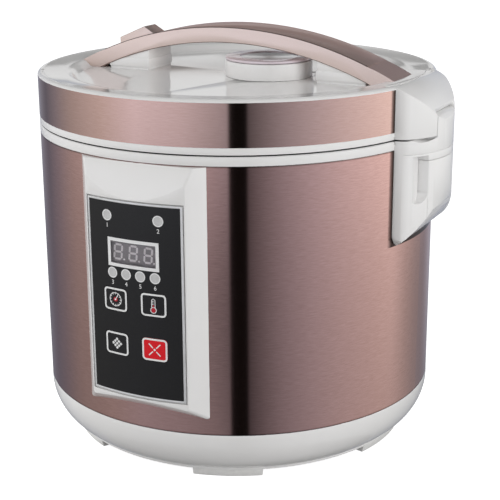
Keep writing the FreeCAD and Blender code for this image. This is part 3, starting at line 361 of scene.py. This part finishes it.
# Silver foil: a bright, slightly milky line.
silver_foil, shader = new_material("hot_stamped_silver_foil", {"Metallic": 0.4, "Roughness": 0.3})
mottle(silver_foil, shader, size_mm=5.0, colours=("#DADADA", "#E4E4E4"))
soften("panel_frame", edge_mm=0.4, material=silver_foil)

# Panel overlay and the three dark keys: polycarbonate sheet printed black on its back, with a fine
# matt grain, so that it is deep black with a soft, weak reflection. The fourth key is backed with red.
# The grain of a tenth of a millimetre is drawn wider, so that it shows.
black_overlay, shader = new_material("black_backed_polycarbonate", {"Roughness": 0.32, "IOR": 1.58,
                                                                    "Specular IOR Level": 0.3})
grain_mm = 0.9
mottle(black_overlay, shader, size_mm=grain_mm, colours=("#171616", "#1D1C1C"), dent_mm=0.004)
finish_node(black_overlay, "panel_overlay", "time_key", "temperature_key", "function_key")
red_key, shader = new_material("red_backed_polycarbonate", {"Roughness": 0.28, "IOR": 1.58,
                                                            "Specular IOR Level": 0.3})
mottle(red_key, shader, size_mm=grain_mm, colours=("#D4101C", "#DC1824"), dent_mm=0.004)
finish_node(red_key, "cancel_key")

# Key prints: white and red ink on each key, a rounded border with a clock dial, a thermometer, a
# cluster of squares or a cross inside it. The ink lies on the curved face as a thin raised film.
face_radius = -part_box("panel_overlay")[0].y
ink_mm = 0.08
chord_mm = 4.0


def flat_plate(x, z, width, height, corner, line=0.0, turn=0.0, steps=5):
    """A rounded plate drawn flat in X and Z, all in mm; with a line width only its border is left."""
    bpy.ops.object.select_all(action="DESELECT")
    bpy.ops.mesh.primitive_plane_add(size=1.0)
    plate = bpy.context.object
    plate.scale = (width * mm, height * mm, 1.0)
    bpy.ops.object.transform_apply(location=False, rotation=False, scale=True)
    bpy.ops.object.mode_set(mode="EDIT")
    if corner:
        bpy.ops.mesh.bevel(affect="VERTICES", offset=corner * mm, segments=steps)
    if line:
        bpy.ops.mesh.inset(thickness=line * mm)
        bpy.ops.mesh.delete(type="FACE")
        bpy.ops.mesh.select_all(action="SELECT")
        bpy.ops.mesh.subdivide(number_cuts=max(2, round(width / chord_mm)))
    bpy.ops.object.mode_set(mode="OBJECT")
    plate.rotation_euler = (math.pi / 2, turn, 0.0)
    plate.location = (x * mm, 0.0, z * mm)
    bpy.ops.object.transform_apply(location=True, rotation=True, scale=True)
    return plate


def flat_disc(x, z, radius, line=0.0):
    """A round plate, or a ring where a line width is given; its corners just fail to meet."""
    return flat_plate(x, z, 2 * radius, 2 * radius, 0.999 * radius, line, steps=10)


def flat_stroke(x0, z0, x1, z1, width):
    """A straight stroke with rounded ends between two points."""
    length = math.hypot(x1 - x0, z1 - z0) + width
    turn = -math.atan2(z1 - z0, x1 - x0)
    return flat_plate(0.5 * (x0 + x1), 0.5 * (z0 + z1), length, width, 0.49 * width, turn=turn, steps=3)


def print_on_panel(name, parts, material, body, radius=face_radius, flat_y=None):
    """Joins flat parts, bends them round the panel or lays them on a flat face, and thickens them."""
    bpy.ops.object.select_all(action="DESELECT")
    for part in parts:
        part.select_set(True)
    bpy.context.view_layer.objects.active = parts[0]
    bpy.ops.object.join()
    film = parts[0]
    film.name = name
    for vertex in film.data.vertices:
        vertex.co.y = -math.sqrt(radius ** 2 - vertex.co.x ** 2) if flat_y is None else flat_y
    thick = film.modifiers.new("thick", "SOLIDIFY")
    thick.thickness = ink_mm * mm
    thick.offset = 1.0
    bpy.ops.object.modifier_apply(modifier="thick")
    bpy.ops.object.shade_smooth_by_angle(angle=sharp_angle)
    film.data.materials.append(material)
    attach(film, body)


def middle_mm(node):
    """The middle of a CAD piece in X and Z, in mm."""
    low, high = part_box(node)
    return 0.5 * (low.x + high.x) / mm, 0.5 * (low.z + high.z) / mm


# Screen ink: a flat, slightly grainy white, and a red of the same kind.
white_ink, shader = new_material("white_screen_ink", {"Roughness": 0.5, "IOR": 1.5})
ink_grain_mm = 0.6
mottle(white_ink, shader, size_mm=ink_grain_mm, colours=("#DEDEDE", "#EAEAEA"))
red_ink, shader = new_material("red_screen_ink", {"Roughness": 0.5, "IOR": 1.5})
mottle(red_ink, shader, size_mm=ink_grain_mm, colours=("#A80F22", "#BA1A2C"))

border_mm = 1.15
border_corner = 2.5
line_mm = 0.45
key_low, key_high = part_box("time_key")
key_width = (key_high.x - key_low.x) / mm
key_height = (key_high.z - key_low.z) / mm


def key_border(x, z):
    """The rounded white border of a key."""
    return flat_plate(x, z, key_width, key_height, border_corner, border_mm)


x, z = middle_mm("time_key")
dial_radius = 4.5
tick_in = 3.4
tick_count = 12
hand_from = (0.7, 1.0)
hand_to = (1.7, 2.7)
hand_mm = 0.65
hub_radius = 1.5
hub_light_radius = 0.65
dial = [key_border(x, z), flat_disc(x, z, dial_radius, line_mm)]
dial.append(flat_stroke(x + hand_from[0], z + hand_from[1], x + hand_to[0], z + hand_to[1], hand_mm))
for index in range(tick_count):
    angle = 2 * math.pi * index / tick_count
    across, up = math.sin(angle), math.cos(angle)
    dial.append(flat_stroke(x + tick_in * across, z + tick_in * up, x + dial_radius * across,
                            z + dial_radius * up, line_mm))
print_on_panel("time_key_print", dial, white_ink, "time_key")
print_on_panel("time_key_hub", [flat_disc(x, z, hub_radius)], red_ink, "time_key")
print_on_panel("time_key_hub_light", [flat_disc(x, z, hub_light_radius)], white_ink, "time_key",
               face_radius + 0.5 * ink_mm * mm)

x, z = middle_mm("temperature_key")
bulb_z = z - 3.2
stem_top = z + 4.3
stem_half = 1.15
stem_foot = bulb_z + 1.8
shoulder_z = stem_top - 1.1
cap_half = 1.0
cap_foot = stem_top - 0.8
cap_top = stem_top - 0.2
bulb_radius = 2.1
mark_mm = 0.4
mark_length = 0.75
mark_heights = (0.6, 1.6, 2.6)
fluid_radius = 1.5
fluid_mm = 0.9
fluid_top = z - 0.2
glass = [key_border(x, z), flat_disc(x, bulb_z, bulb_radius, line_mm)]
for side in (-1, 1):
    stem_x = x + stem_half * side
    glass.append(flat_stroke(stem_x, stem_foot, stem_x, shoulder_z, line_mm))
    glass.append(flat_stroke(x + cap_half * side, cap_foot, x, cap_top, line_mm))
for up in mark_heights:
    glass.append(flat_stroke(x - mark_length, z + up, x, z + up, mark_mm))
print_on_panel("temperature_key_print", glass, white_ink, "temperature_key")
fluid = [flat_disc(x, bulb_z, fluid_radius), flat_stroke(x, bulb_z, x, fluid_top, fluid_mm)]
print_on_panel("temperature_key_fluid", fluid, red_ink, "temperature_key")

x, z = middle_mm("function_key")
square_mm = 1.5
square_pitch = 1.42
square_corner = 0.2
cluster = [key_border(x, z)]
for row in (-1, 0, 1):
    for column in (-1, 0, 1):
        square_x = x + square_pitch * (column - row)
        square_z = z + square_pitch * (column + row)
        cluster.append(flat_plate(square_x, square_z, square_mm, square_mm, square_corner,
                                  turn=math.pi / 4, steps=2))
print_on_panel("function_key_print", cluster, white_ink, "function_key")

x, z = middle_mm("cancel_key")
arm_in = 1.35
arm_out_x = 3.7
arm_out_z = 3.6
arm_mm = 0.75
cross = [key_border(x, z), flat_disc(x, z, arm_mm)]
for side in (-1, 1):
    for rise in (-1, 1):
        cross.append(flat_stroke(x + arm_in * side, z + arm_in * rise, x + arm_out_x * side,
                                 z + arm_out_z * rise, arm_mm))
print_on_panel("cancel_key_print", cross, white_ink, "cancel_key")

# Display: a smoked acrylic window with a white printed border, over a grey module with three pale
# seven-segment digits and their points. The digits are unlit.
# Smoked acrylic: nearly clear in so thin a sheet, with a crisp reflection.
smoked_acrylic, shader = new_material("smoked_acrylic", {"Roughness": 0.05, "IOR": 1.49,
                                                         "Transmission Weight": 1.0})
mottle(smoked_acrylic, shader, size_mm=12.0, colours=("#F6F4F6", "#FAF8FA"))
finish_node(smoked_acrylic, "display_window")
# Epoxy fill: a dull grey with a fine grain.
display_grey, shader = new_material("grey_epoxy_fill", {"Roughness": 0.45, "IOR": 1.55})
mottle(display_grey, shader, size_mm=0.8, colours=("#AAA5A9", "#B5B0B4"), dent_mm=0.01)
finish_node(display_grey, "display_module")
low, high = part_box("display_window")
display_x, display_z = middle_mm("display_window")
display_width = (high.x - low.x) / mm
display_height = (high.z - low.z) / mm
edge_gap = 0.1
display_line = 2.1
display_border = flat_plate(display_x, display_z, display_width - edge_gap, display_height - edge_gap, 0.0,
                            display_line)
print_on_panel("display_border", [display_border], white_ink, "body")
# Milky segment windows: pale, with a faint glow of painted light, though the digits are unlit.
segment_resin, shader = new_material("milky_segment_resin", {"Roughness": 0.4, "IOR": 1.5,
                                                             "Emission Strength": 0.13})
shader.inputs["Emission Color"].default_value = linear("#F6F6F6")
mottle(segment_resin, shader, size_mm=1.0, colours=("#F2EEF0", "#FAF6F8"))
digit_count = 3
digit_pitch = 10.6
digit_half_width = 2.55
digit_half_height = 4.6
digit_lean = 0.09
digit_shift = -0.7
segment_mm = 1.35
gap_mm = 0.35
point_step = 1.5
point_radius = 0.65
segments = []
for index in range(digit_count):
    digit_x = display_x + digit_pitch * (index - 0.5 * (digit_count - 1)) + digit_shift
    ends = []
    for level in (-1, 0, 1):
        ends.append((-1, level, 1, level))
    for side in (-1, 1):
        for level in (-1, 0):
            ends.append((side, level, side, level + 1))
    for from_x, from_z, to_x, to_z in ends:
        step_x = (gap_mm + 0.5 * segment_mm) * 0.5 * (to_x - from_x)
        step_z = (gap_mm + 0.5 * segment_mm) * (to_z - from_z)
        start_z = digit_half_height * from_z + step_z
        end_z = digit_half_height * to_z - step_z
        start_x = digit_x + digit_half_width * from_x + step_x + digit_lean * start_z
        end_x = digit_x + digit_half_width * to_x - step_x + digit_lean * end_z
        segments.append(flat_stroke(start_x, display_z + start_z, end_x, display_z + end_z, segment_mm))
    segments.append(flat_disc(digit_x + digit_half_width + point_step, display_z - digit_half_height,
                              point_radius))
print_on_panel("display_digits", segments, segment_resin, "body",
               flat_y=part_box("display_module")[0].y)

# Indicator lamps: light pipes moulded in milky polycarbonate, which reach from the control board through
# the overlay. Each has a thin white printed ring and a plain number under it.
# Milky polycarbonate: pale grey and cloudy while unlit.
milky_lens, shader = new_material("milky_polycarbonate", {"Roughness": 0.3, "IOR": 1.58,
                                                          "Subsurface Weight": 0.2})
shader.inputs["Subsurface Radius"].default_value = (1.0 * mm, 1.0 * mm, 1.0 * mm)
mottle(milky_lens, shader, size_mm=2.0, colours=("#BEBEBE", "#C7C7C7"))
finish_node(milky_lens, "indicator_lamps")
lamp_radius = 3.4
low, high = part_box("indicator_lamps")
upper_lamp_x = high.x / mm - lamp_radius
upper_lamp_z = high.z / mm - lamp_radius
lower_lamp_z = low.z / mm + lamp_radius
lower_lamp_pitch = 10.1
lower_lamp_count = 4
rim_overlap = 0.1
rim_mm = 0.6
lamp_places = [(-upper_lamp_x, upper_lamp_z), (upper_lamp_x, upper_lamp_z)]
for index in range(lower_lamp_count):
    lamp_places.append((lower_lamp_pitch * (index - 0.5 * (lower_lamp_count - 1)), lower_lamp_z))
rims = [flat_disc(lamp_x, lamp_z, lamp_radius + rim_overlap, rim_mm) for lamp_x, lamp_z in lamp_places]
print_on_panel("lamp_rims", rims, white_ink, "body")


def flat_number(number, x, z, height):
    """A plain numeral drawn flat in X and Z, centred on a point, in mm."""
    size_per_height = 1.4
    bpy.ops.object.select_all(action="DESELECT")
    bpy.ops.object.text_add()
    numeral = bpy.context.object
    numeral.data.body = str(number)
    numeral.data.align_x = "CENTER"
    numeral.data.align_y = "CENTER"
    numeral.data.size = size_per_height * height * mm
    bpy.ops.object.convert(target="MESH")
    numeral.rotation_euler.x = math.pi / 2
    numeral.location = (x * mm, 0.0, z * mm)
    bpy.ops.object.transform_apply(location=True, rotation=True, scale=True)
    return numeral


number_drop = 6.4
number_height = 2.8
numbers = [
    flat_number(index + 1, lamp_x, lamp_z - number_drop, number_height)
    for index, (lamp_x, lamp_z) in enumerate(lamp_places)
]
print_on_panel("lamp_numbers", numbers, white_ink, "body")

# Boards: glass-epoxy circuit boards with a green mask, copper tracks and black switches and parts. The
# control board is screwed up behind the panel, and the power board lies on standoffs in the bowl.
# Solder mask: a glossy dark green over faint paler tracks.
circuit_board, shader = new_material("green_solder_mask", {"Roughness": 0.25, "IOR": 1.55})
track_mm = 2.0
brick_mm = 4 * track_mm
place = add_node(circuit_board, "ShaderNodeTexCoord")
tracks = add_node(circuit_board, "ShaderNodeTexBrick", {
    "Scale": 1.0 / (brick_mm * mm), "Mortar Size": 0.05, "Color1": linear("#1F5B33"),
    "Color2": linear("#245F38"), "Mortar": linear("#3B7A49"),
}, {"Vector": place.outputs["Object"]})
circuit_board.node_tree.links.new(tracks.outputs["Color"], shader.inputs["Base Color"])
finish_node(circuit_board, "control_board", "power_board")
# Glass-filled nylon: matt black with a faint grain.
black_nylon, shader = new_material("black_glass_filled_nylon", {"Roughness": 0.5, "IOR": 1.53})
mottle(black_nylon, shader, size_mm=0.8, colours=("#1C1C1D", "#252526"), dent_mm=0.03)
finish_node(black_nylon, "tact_switches", "power_components")
finish_node(zinc_steel, "board_screws")

# Mains inlet: a flanged socket moulded in the same black nylon, low in the rear of the sleeve. Its three
# blades are stamped in brass.
soften("power_inlet", edge_mm=0.5, material=black_nylon)
# Brass: warm yellow and softly worn.
brass, shader = new_material("tumbled_brass", {"Metallic": 1.0, "Roughness": 0.3})
mottle(brass, shader, size_mm=1.5, colours=("#B7924F", "#C9A561"), dent_mm=0.02)
finish_node(brass, "inlet_pins")

# Hinge housing and dew collector: white ABS; the housing is screwed to the body from inside, and the
# cup slides out of it by the two finger recesses. A steel pin and a spring carry the lid.
# Hinge ABS: the same plastic, with painted shade deep in the seam at the hinge's two sides.
hinge_abs_painted_shade = seam_abs("glossy_white_abs_hinge_painted_seam_shade", (0.0, 1.0, 0.0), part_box("hinge_housing")[1].y)
soften("hinge_housing", edge_mm=0.8, material=hinge_abs_painted_shade)
soften("dew_collector", edge_mm=0.8, material=white_abs)
finish_node(zinc_steel, "hinge_pin", "hinge_spring")

# Lid: white ABS top moulding with a sunk dish, the bronze band round it, and a white ring below that
# holds the pressed inner cover and its silicone seal.
soften("lid_top", edge_mm=0.5, material=white_abs)
# Band steel: as the sleeve's, with the painted shade beside the hinge, but bright up to its lower and upper
# edge.
band_steel = brushed_steel("brushed_bronze_lid_steel_painted_hinge_shade", ("#CFACA1", "#D7B5AB"), "lid_band",
                           "lid_hinge_cover", foot_shade=1.0, head_shade=1.0)
finish_node(band_steel, "lid_band")
# The lid's lower ring carries the same painted seam shade.
soften("lid_lower_ring", edge_mm=0.4, material=rim_abs_painted_shade)
finish_node(zinc_steel, "lid_screws")
# Silicone: cloudy and soft, with a waxy sheen.
silicone, shader = new_material("milky_silicone", {"Roughness": 0.45, "IOR": 1.41,
                                                   "Subsurface Weight": 0.3})
shader.inputs["Subsurface Radius"].default_value = (2.0 * mm, 2.0 * mm, 2.0 * mm)
mottle(silicone, shader, size_mm=6.0, colours=("#CFCFCB", "#D9D9D5"))
finish_node(silicone, "lid_seal")
soften("lid_hinge_cover", edge_mm=0.6, material=hinge_abs_painted_shade, merge_mm=0.3, flat_degrees=2.0)

# Handle and release button: ABS arch and wedge with a bronze pearl lacquer. Two white pillars under
# the arch stand on low pads on the dish and are screwed up from inside the lid.
# Pearl lacquer: a pale metallic rose with a clear coat over fine flakes, browner at a low angle. The
# flakes, some 0.05 mm wide, are drawn ten times as wide, so that they show.
pearl_lacquer, shader = new_material("bronze_pearl_lacquer", {"Metallic": 0.85, "Roughness": 0.4,
                                                              "Coat Weight": 0.2, "Coat Roughness": 0.1})
shader.inputs["Specular Tint"].default_value = linear("#E0BAB8")
flake_mm = 0.5
mottle(pearl_lacquer, shader, size_mm=flake_mm, colours=("#F0DAD0", "#F4E1D8"), dent_mm=0.002)
# On the edges the colour is painted darker, a painted dark reflection that shows as a fine line.
edge_lacquer_painted_dark, shader = new_material("bronze_lacquer_painted_dark_edge", {"Metallic": 0.85, "Roughness": 0.4})
mottle(edge_lacquer_painted_dark, shader, size_mm=flake_mm, colours=("#8C7870", "#9A867E"))
soften("handle", edge_mm=0.5, material=pearl_lacquer,
       edge_material=edge_lacquer_painted_dark, tips_mm=14.0)
soften("release_button", edge_mm=0.7, material=pearl_lacquer,
       edge_material=edge_lacquer_painted_dark)
pad_mm = 6.0
pad_step = 0.5
pad_edge = 0.3
for pillar in ("left_pillar", "right_pillar"):
    post = soften(pillar, edge_mm=0.6, material=white_abs, merge_mm=0.3, flat_degrees=2.0)
    low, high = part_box(pillar)
    pad = copy_mesh(pillar + "_pad", post.data)
    bpy.ops.object.mode_set(mode="EDIT")
    bpy.ops.mesh.select_all(action="SELECT")
    bpy.ops.mesh.bisect(plane_co=(0.0, 0.0, low.z + pad_mm * mm), plane_no=(0.0, 0.0, 1.0),
                        use_fill=True, clear_outer=True)
    bpy.ops.object.mode_set(mode="OBJECT")
    middle = 0.5 * (low + high)
    for vertex in pad.data.vertices:
        vertex.co.x += math.copysign(pad_step * mm, vertex.co.x - middle.x)
        vertex.co.y += math.copysign(pad_step * mm, vertex.co.y - middle.y)
    rounding = pad.modifiers.new("rounding", "BEVEL")
    rounding.width = pad_edge * mm
    rounding.segments = 2
    rounding.limit_method = "ANGLE"
    bpy.ops.object.modifier_apply(modifier="rounding")
    bpy.ops.object.shade_smooth_by_angle(angle=sharp_angle)
    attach(pad, nodes[pillar]["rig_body"])
finish_node(zinc_steel, "handle_screws", "button_spring", "latch_pin")
# Acetal: off-white, smooth and a little waxy.
acetal, shader = new_material("natural_acetal", {"Roughness": 0.35, "IOR": 1.48})
mottle(acetal, shader, size_mm=5.0, colours=("#DAD8D0", "#E2E0D9"))
finish_node(acetal, "latch_hook")

# Steam vent: a white round wall on the dish, and a lift-off cap of mauve-grey lacquered ABS with a
# dished aluminium disc.
soften("vent_housing", edge_mm=0.6, material=white_abs)
# Mauve lacquer: a pearly pink grey under a clear coat.
mauve_lacquer, shader = new_material("mauve_grey_lacquer", {"Metallic": 0.3, "Roughness": 0.25,
                                                            "Coat Weight": 0.3, "Coat Roughness": 0.08})
mottle(mauve_lacquer, shader, size_mm=flake_mm, colours=("#E0D3D9", "#E8DCE2"), dent_mm=0.002)
soften("vent_cap", edge_mm=0.5, material=mauve_lacquer)
# Spun aluminium: turned from the middle, so that light lies on it in fans.
spun_aluminium, shader = new_material("spun_aluminium", {"Metallic": 1.0, "Roughness": 0.3,
                                                         "Anisotropic": 0.8,
                                                         "Anisotropic Rotation": 0.25})
mottle(spun_aluminium, shader, size_mm=flake_mm, colours=("#DAD9DA", "#E4E3E4"))
brush_round(spun_aluminium, shader)
finish_node(spun_aluminium, "vent_disc")

# Camera: at the photograph's place, a little to the right of the panel and above the lid, with a long
# lens and a slight roll.
camera_data = bpy.data.cameras.new("camera")
camera_data.lens = 92.23
camera_data.sensor_width = 36.0
camera_data.clip_start = 0.01
camera = bpy.data.objects.new("camera", camera_data)
bpy.context.scene.collection.objects.link(camera)
camera_place = Vector((0.3977, -0.7789, 0.3836))
camera_target = Vector((0.00717, 0.00366, 0.1187))
camera_roll = -0.005
look = (camera_target - camera_place).to_track_quat("-Z", "Y")
camera.rotation_mode = "QUATERNION"
camera.rotation_quaternion = look @ Quaternion((0, 0, 1), camera_roll)
camera.location = camera_place
bpy.context.scene.camera = camera


# Floor: white paper that runs out of sight; its own glow makes it plain white to the camera. Reflections
# don't see it.
def bare_material(name):
    """A named material with no nodes yet."""
    material = bpy.data.materials.new(name)
    material.use_nodes = True
    material.node_tree.nodes.clear()
    return material


floor_size = 8.0
paper_glow = 0.9
bpy.ops.object.select_all(action="DESELECT")
bpy.ops.mesh.primitive_plane_add(size=floor_size)
floor = bpy.context.object
floor.name = "floor"
floor.visible_glossy = False
paper = bare_material("white_paper")
path = add_node(paper, "ShaderNodeLightPath")
sheet = add_node(paper, "ShaderNodeBsdfDiffuse", {"Color": linear("#C8C8C8")})
glow_power = add_node(paper, "ShaderNodeMath", {"operation": "MULTIPLY", 1: paper_glow},
                      {0: path.outputs["Is Camera Ray"]})
glow = add_node(paper, "ShaderNodeEmission", links={"Strength": glow_power.outputs["Value"]})
both = add_node(paper, "ShaderNodeAddShader",
                links={0: sheet.outputs["BSDF"], 1: glow.outputs["Emission"]})
add_node(paper, "ShaderNodeOutputMaterial", links={"Surface": both.outputs["Shader"]})
floor.data.materials.append(paper)


# Light tent: white cloth all round, lit strongly from the right and more softly from the left, with
# a dark slit that the camera looks through. Only reflections see it.
def only_reflect(piece):
    """Lets a piece of the stage be seen in reflections alone."""
    for kind in ("camera", "diffuse", "transmission", "volume_scatter", "shadow"):
        setattr(piece, "visible_" + kind, False)


tent_radius = 1.3
tent_height = 3.6
tent_middle_z = 0.4
bpy.ops.object.select_all(action="DESELECT")
bpy.ops.mesh.primitive_cylinder_add(vertices=128, radius=tent_radius, depth=tent_height,
                                    end_fill_type="NOTHING", location=(0.0, 0.0, tent_middle_z))
tent = bpy.context.object
tent.name = "light_tent"
bpy.ops.object.transform_apply(location=True, rotation=True, scale=True)
tent.rotation_euler.z = math.atan2(camera_place.x, -camera_place.y)
only_reflect(tent)
cloth = bare_material("lit_tent_cloth")
place = add_node(cloth, "ShaderNodeTexCoord")
axes = add_node(cloth, "ShaderNodeSeparateXYZ", links={"Vector": place.outputs["Object"]})
front = add_node(cloth, "ShaderNodeMath", {"operation": "MULTIPLY", 1: -1.0}, {0: axes.outputs["Y"]})
bearing = add_node(cloth, "ShaderNodeMath", {"operation": "ARCTAN2"},
                   {0: axes.outputs["X"], 1: front.outputs["Value"]})
turn = add_node(cloth, "ShaderNodeMapRange", {"From Min": -math.pi, "From Max": math.pi},
                {"Value": bearing.outputs["Value"]})
foot_rise = (-0.5, -0.27)
lid_rise = (-0.24, 0.02)
roof_dusk = (0.6, 0.85)
dusk_level = 0.15
green_share = 0.25
# Degrees from the camera's bearing; brightness low down, at the pot's foot and at its lid; blue share.
tent_lights = (
    (-180, 0.25, 0.25, 0.45, 1.25), (-135, 0.15, 0.15, 0.15, 1.4), (-120, 0.19, 0.22, 0.29, 1.25),
    (-103, 0.28, 0.32, 0.5, 1.02), (-77, 0.34, 0.34, 0.8, 1.02), (-56, 0.35, 0.34, 1.05, 1.16),
    (-30, 0.31, 0.2, 0.91, 1.16), (-14, 0.27, 0.11, 0.67, 1.16), (-4.8, 0.2, 0.06, 0.53, 1.2),
    (-4.2, 0.006, 0.006, 0.006, 1.0), (4.8, 0.006, 0.006, 0.006, 1.0), (5.4, 0.07, 0.09, 0.14, 1.2),
    (25, 0.26, 0.28, 0.45, 1.2), (41, 0.36, 0.42, 0.67, 1.16), (60, 0.46, 0.54, 0.92, 1.08),
    (88, 0.54, 0.7, 1.2, 1.0), (96, 0.54, 0.73, 1.27, 1.0), (110, 0.43, 0.46, 1.0, 1.0),
    (122, 0.32, 0.33, 0.75, 1.05), (136, 0.23, 0.25, 0.48, 1.2), (150, 0.22, 0.38, 0.46, 1.25),
    (180, 0.25, 0.25, 0.45, 1.25),
)
cloth_bands = []
for band in range(3):
    ramp = add_node(cloth, "ShaderNodeValToRGB", links={"Fac": turn.outputs["Result"]})
    stops = ramp.color_ramp.elements
    stops.remove(stops[1])
    for degrees, *levels, blue in tent_lights:
        position = 0.5 + degrees / 360
        stop = stops[0] if position == 0.0 else stops.new(position)
        stop.position = position
        level = levels[band]
        green = 1.0 + green_share * (blue - 1.0)
        stop.color = (level, level * green, level * blue, 1.0)
    cloth_bands.append(ramp.outputs["Color"])
blend = cloth_bands[0]
for brighter, (low_z, high_z) in zip(cloth_bands[1:], (foot_rise, lid_rise)):
    rise = add_node(cloth, "ShaderNodeMapRange", {"From Min": low_z, "From Max": high_z},
                    {"Value": axes.outputs["Z"]})
    mixed = add_node(cloth, "ShaderNodeMix", {"data_type": "RGBA"},
                     {"Factor": rise.outputs["Result"], 6: blend, 7: brighter})
    blend = mixed.outputs[2]
dusk = add_node(cloth, "ShaderNodeMapRange", {
    "From Min": roof_dusk[0], "From Max": roof_dusk[1], "To Min": 1.0, "To Max": dusk_level,
}, {"Value": axes.outputs["Z"]})
glow = add_node(cloth, "ShaderNodeEmission", links={"Color": blend, "Strength": dusk.outputs["Result"]})
add_node(cloth, "ShaderNodeOutputMaterial", links={"Surface": glow.outputs["Emission"]})
tent.data.materials.append(cloth)

# Rear card: a board behind the pot that the lid's top and the handle reflect, pale at its upper and
# lower edge with a black flag between them.
card_low = 0.3
card_high = 0.92
card_width = 2.0
card_x = -0.55
card_y = 1.1
bpy.ops.object.select_all(action="DESELECT")
bpy.ops.mesh.primitive_plane_add(size=1.0, rotation=(math.pi / 2, 0.0, 0.0))
rear_card = bpy.context.object
rear_card.name = "rear_card"
rear_card.scale = (card_width, card_high - card_low, 1.0)
bpy.ops.object.transform_apply(location=True, rotation=True, scale=True)
rear_card.location = (card_x, card_y, 0.5 * (card_low + card_high))
rear_card.rotation_euler.z = tent.rotation_euler.z
only_reflect(rear_card)
board = bare_material("lit_card")
place = add_node(board, "ShaderNodeTexCoord")
axes = add_node(board, "ShaderNodeSeparateXYZ", links={"Vector": place.outputs["Generated"]})
zones = add_node(board, "ShaderNodeValToRGB", links={"Fac": axes.outputs["Z"]})
stops = zones.color_ramp.elements
stops.remove(stops[1])
card_zones = ((0.0, 0.6), (0.08, 0.9), (0.3, 0.9), (0.38, 0.13), (0.6, 0.13), (0.8, 0.6))
for height, level in card_zones:
    stop = stops[0] if height == 0.0 else stops.new(height)
    stop.position = height
    stop.color = (level, level, level, 1.0)
glow = add_node(board, "ShaderNodeEmission", links={"Color": zones.outputs["Color"]})
add_node(board, "ShaderNodeOutputMaterial", links={"Surface": glow.outputs["Emission"]})
rear_card.data.materials.append(board)

# World and lamps: an even studio light, white to the camera, with two large soft lamps at the sides.
# Reflections see little of the world and nothing of the lamps.
world_level = 0.42
roof_level = 0.2
world = bpy.data.worlds.new("studio")
bpy.context.scene.world = world
world.use_nodes = True
world.node_tree.nodes.clear()
path = add_node(world, "ShaderNodeLightPath")
seen = add_node(world, "ShaderNodeMath", {"operation": "MAXIMUM"},
                {0: path.outputs["Is Camera Ray"], 1: path.outputs["Is Transmission Ray"]})
sky = add_node(world, "ShaderNodeMapRange", {"To Min": world_level, "To Max": 1.0},
               {"Value": seen.outputs["Value"]})
roof = add_node(world, "ShaderNodeMapRange", {"To Min": 1.0, "To Max": roof_level},
                {"Value": path.outputs["Is Glossy Ray"]})
shade = add_node(world, "ShaderNodeMath", {"operation": "MULTIPLY"},
                 {0: sky.outputs["Result"], 1: roof.outputs["Result"]})
back = add_node(world, "ShaderNodeBackground", {"Color": linear("#FFFFFF")},
                {"Strength": shade.outputs["Value"]})
add_node(world, "ShaderNodeOutputWorld", links={"Surface": back.outputs["Background"]})
lamp_size = 0.8
lamp_target = Vector((0.0, 0.0, 0.12))
lamps = (
    ("left_lamp", (-1.25, -0.6, 0.45), 13.5),
    ("right_lamp", (1.2, -0.55, 0.6), 9.5),
)
for name, spot, watts in lamps:
    lamp_data = bpy.data.lights.new(name, "AREA")
    lamp_data.energy = watts
    lamp_data.size = lamp_size
    lamp = bpy.data.objects.new(name, lamp_data)
    bpy.context.scene.collection.objects.link(lamp)
    lamp.location = spot
    lamp.rotation_mode = "QUATERNION"
    lamp.rotation_quaternion = (lamp_target - Vector(spot)).to_track_quat("-Z", "Y")
    lamp.visible_glossy = False

bpy.context.scene.view_settings.view_transform = "Standard"
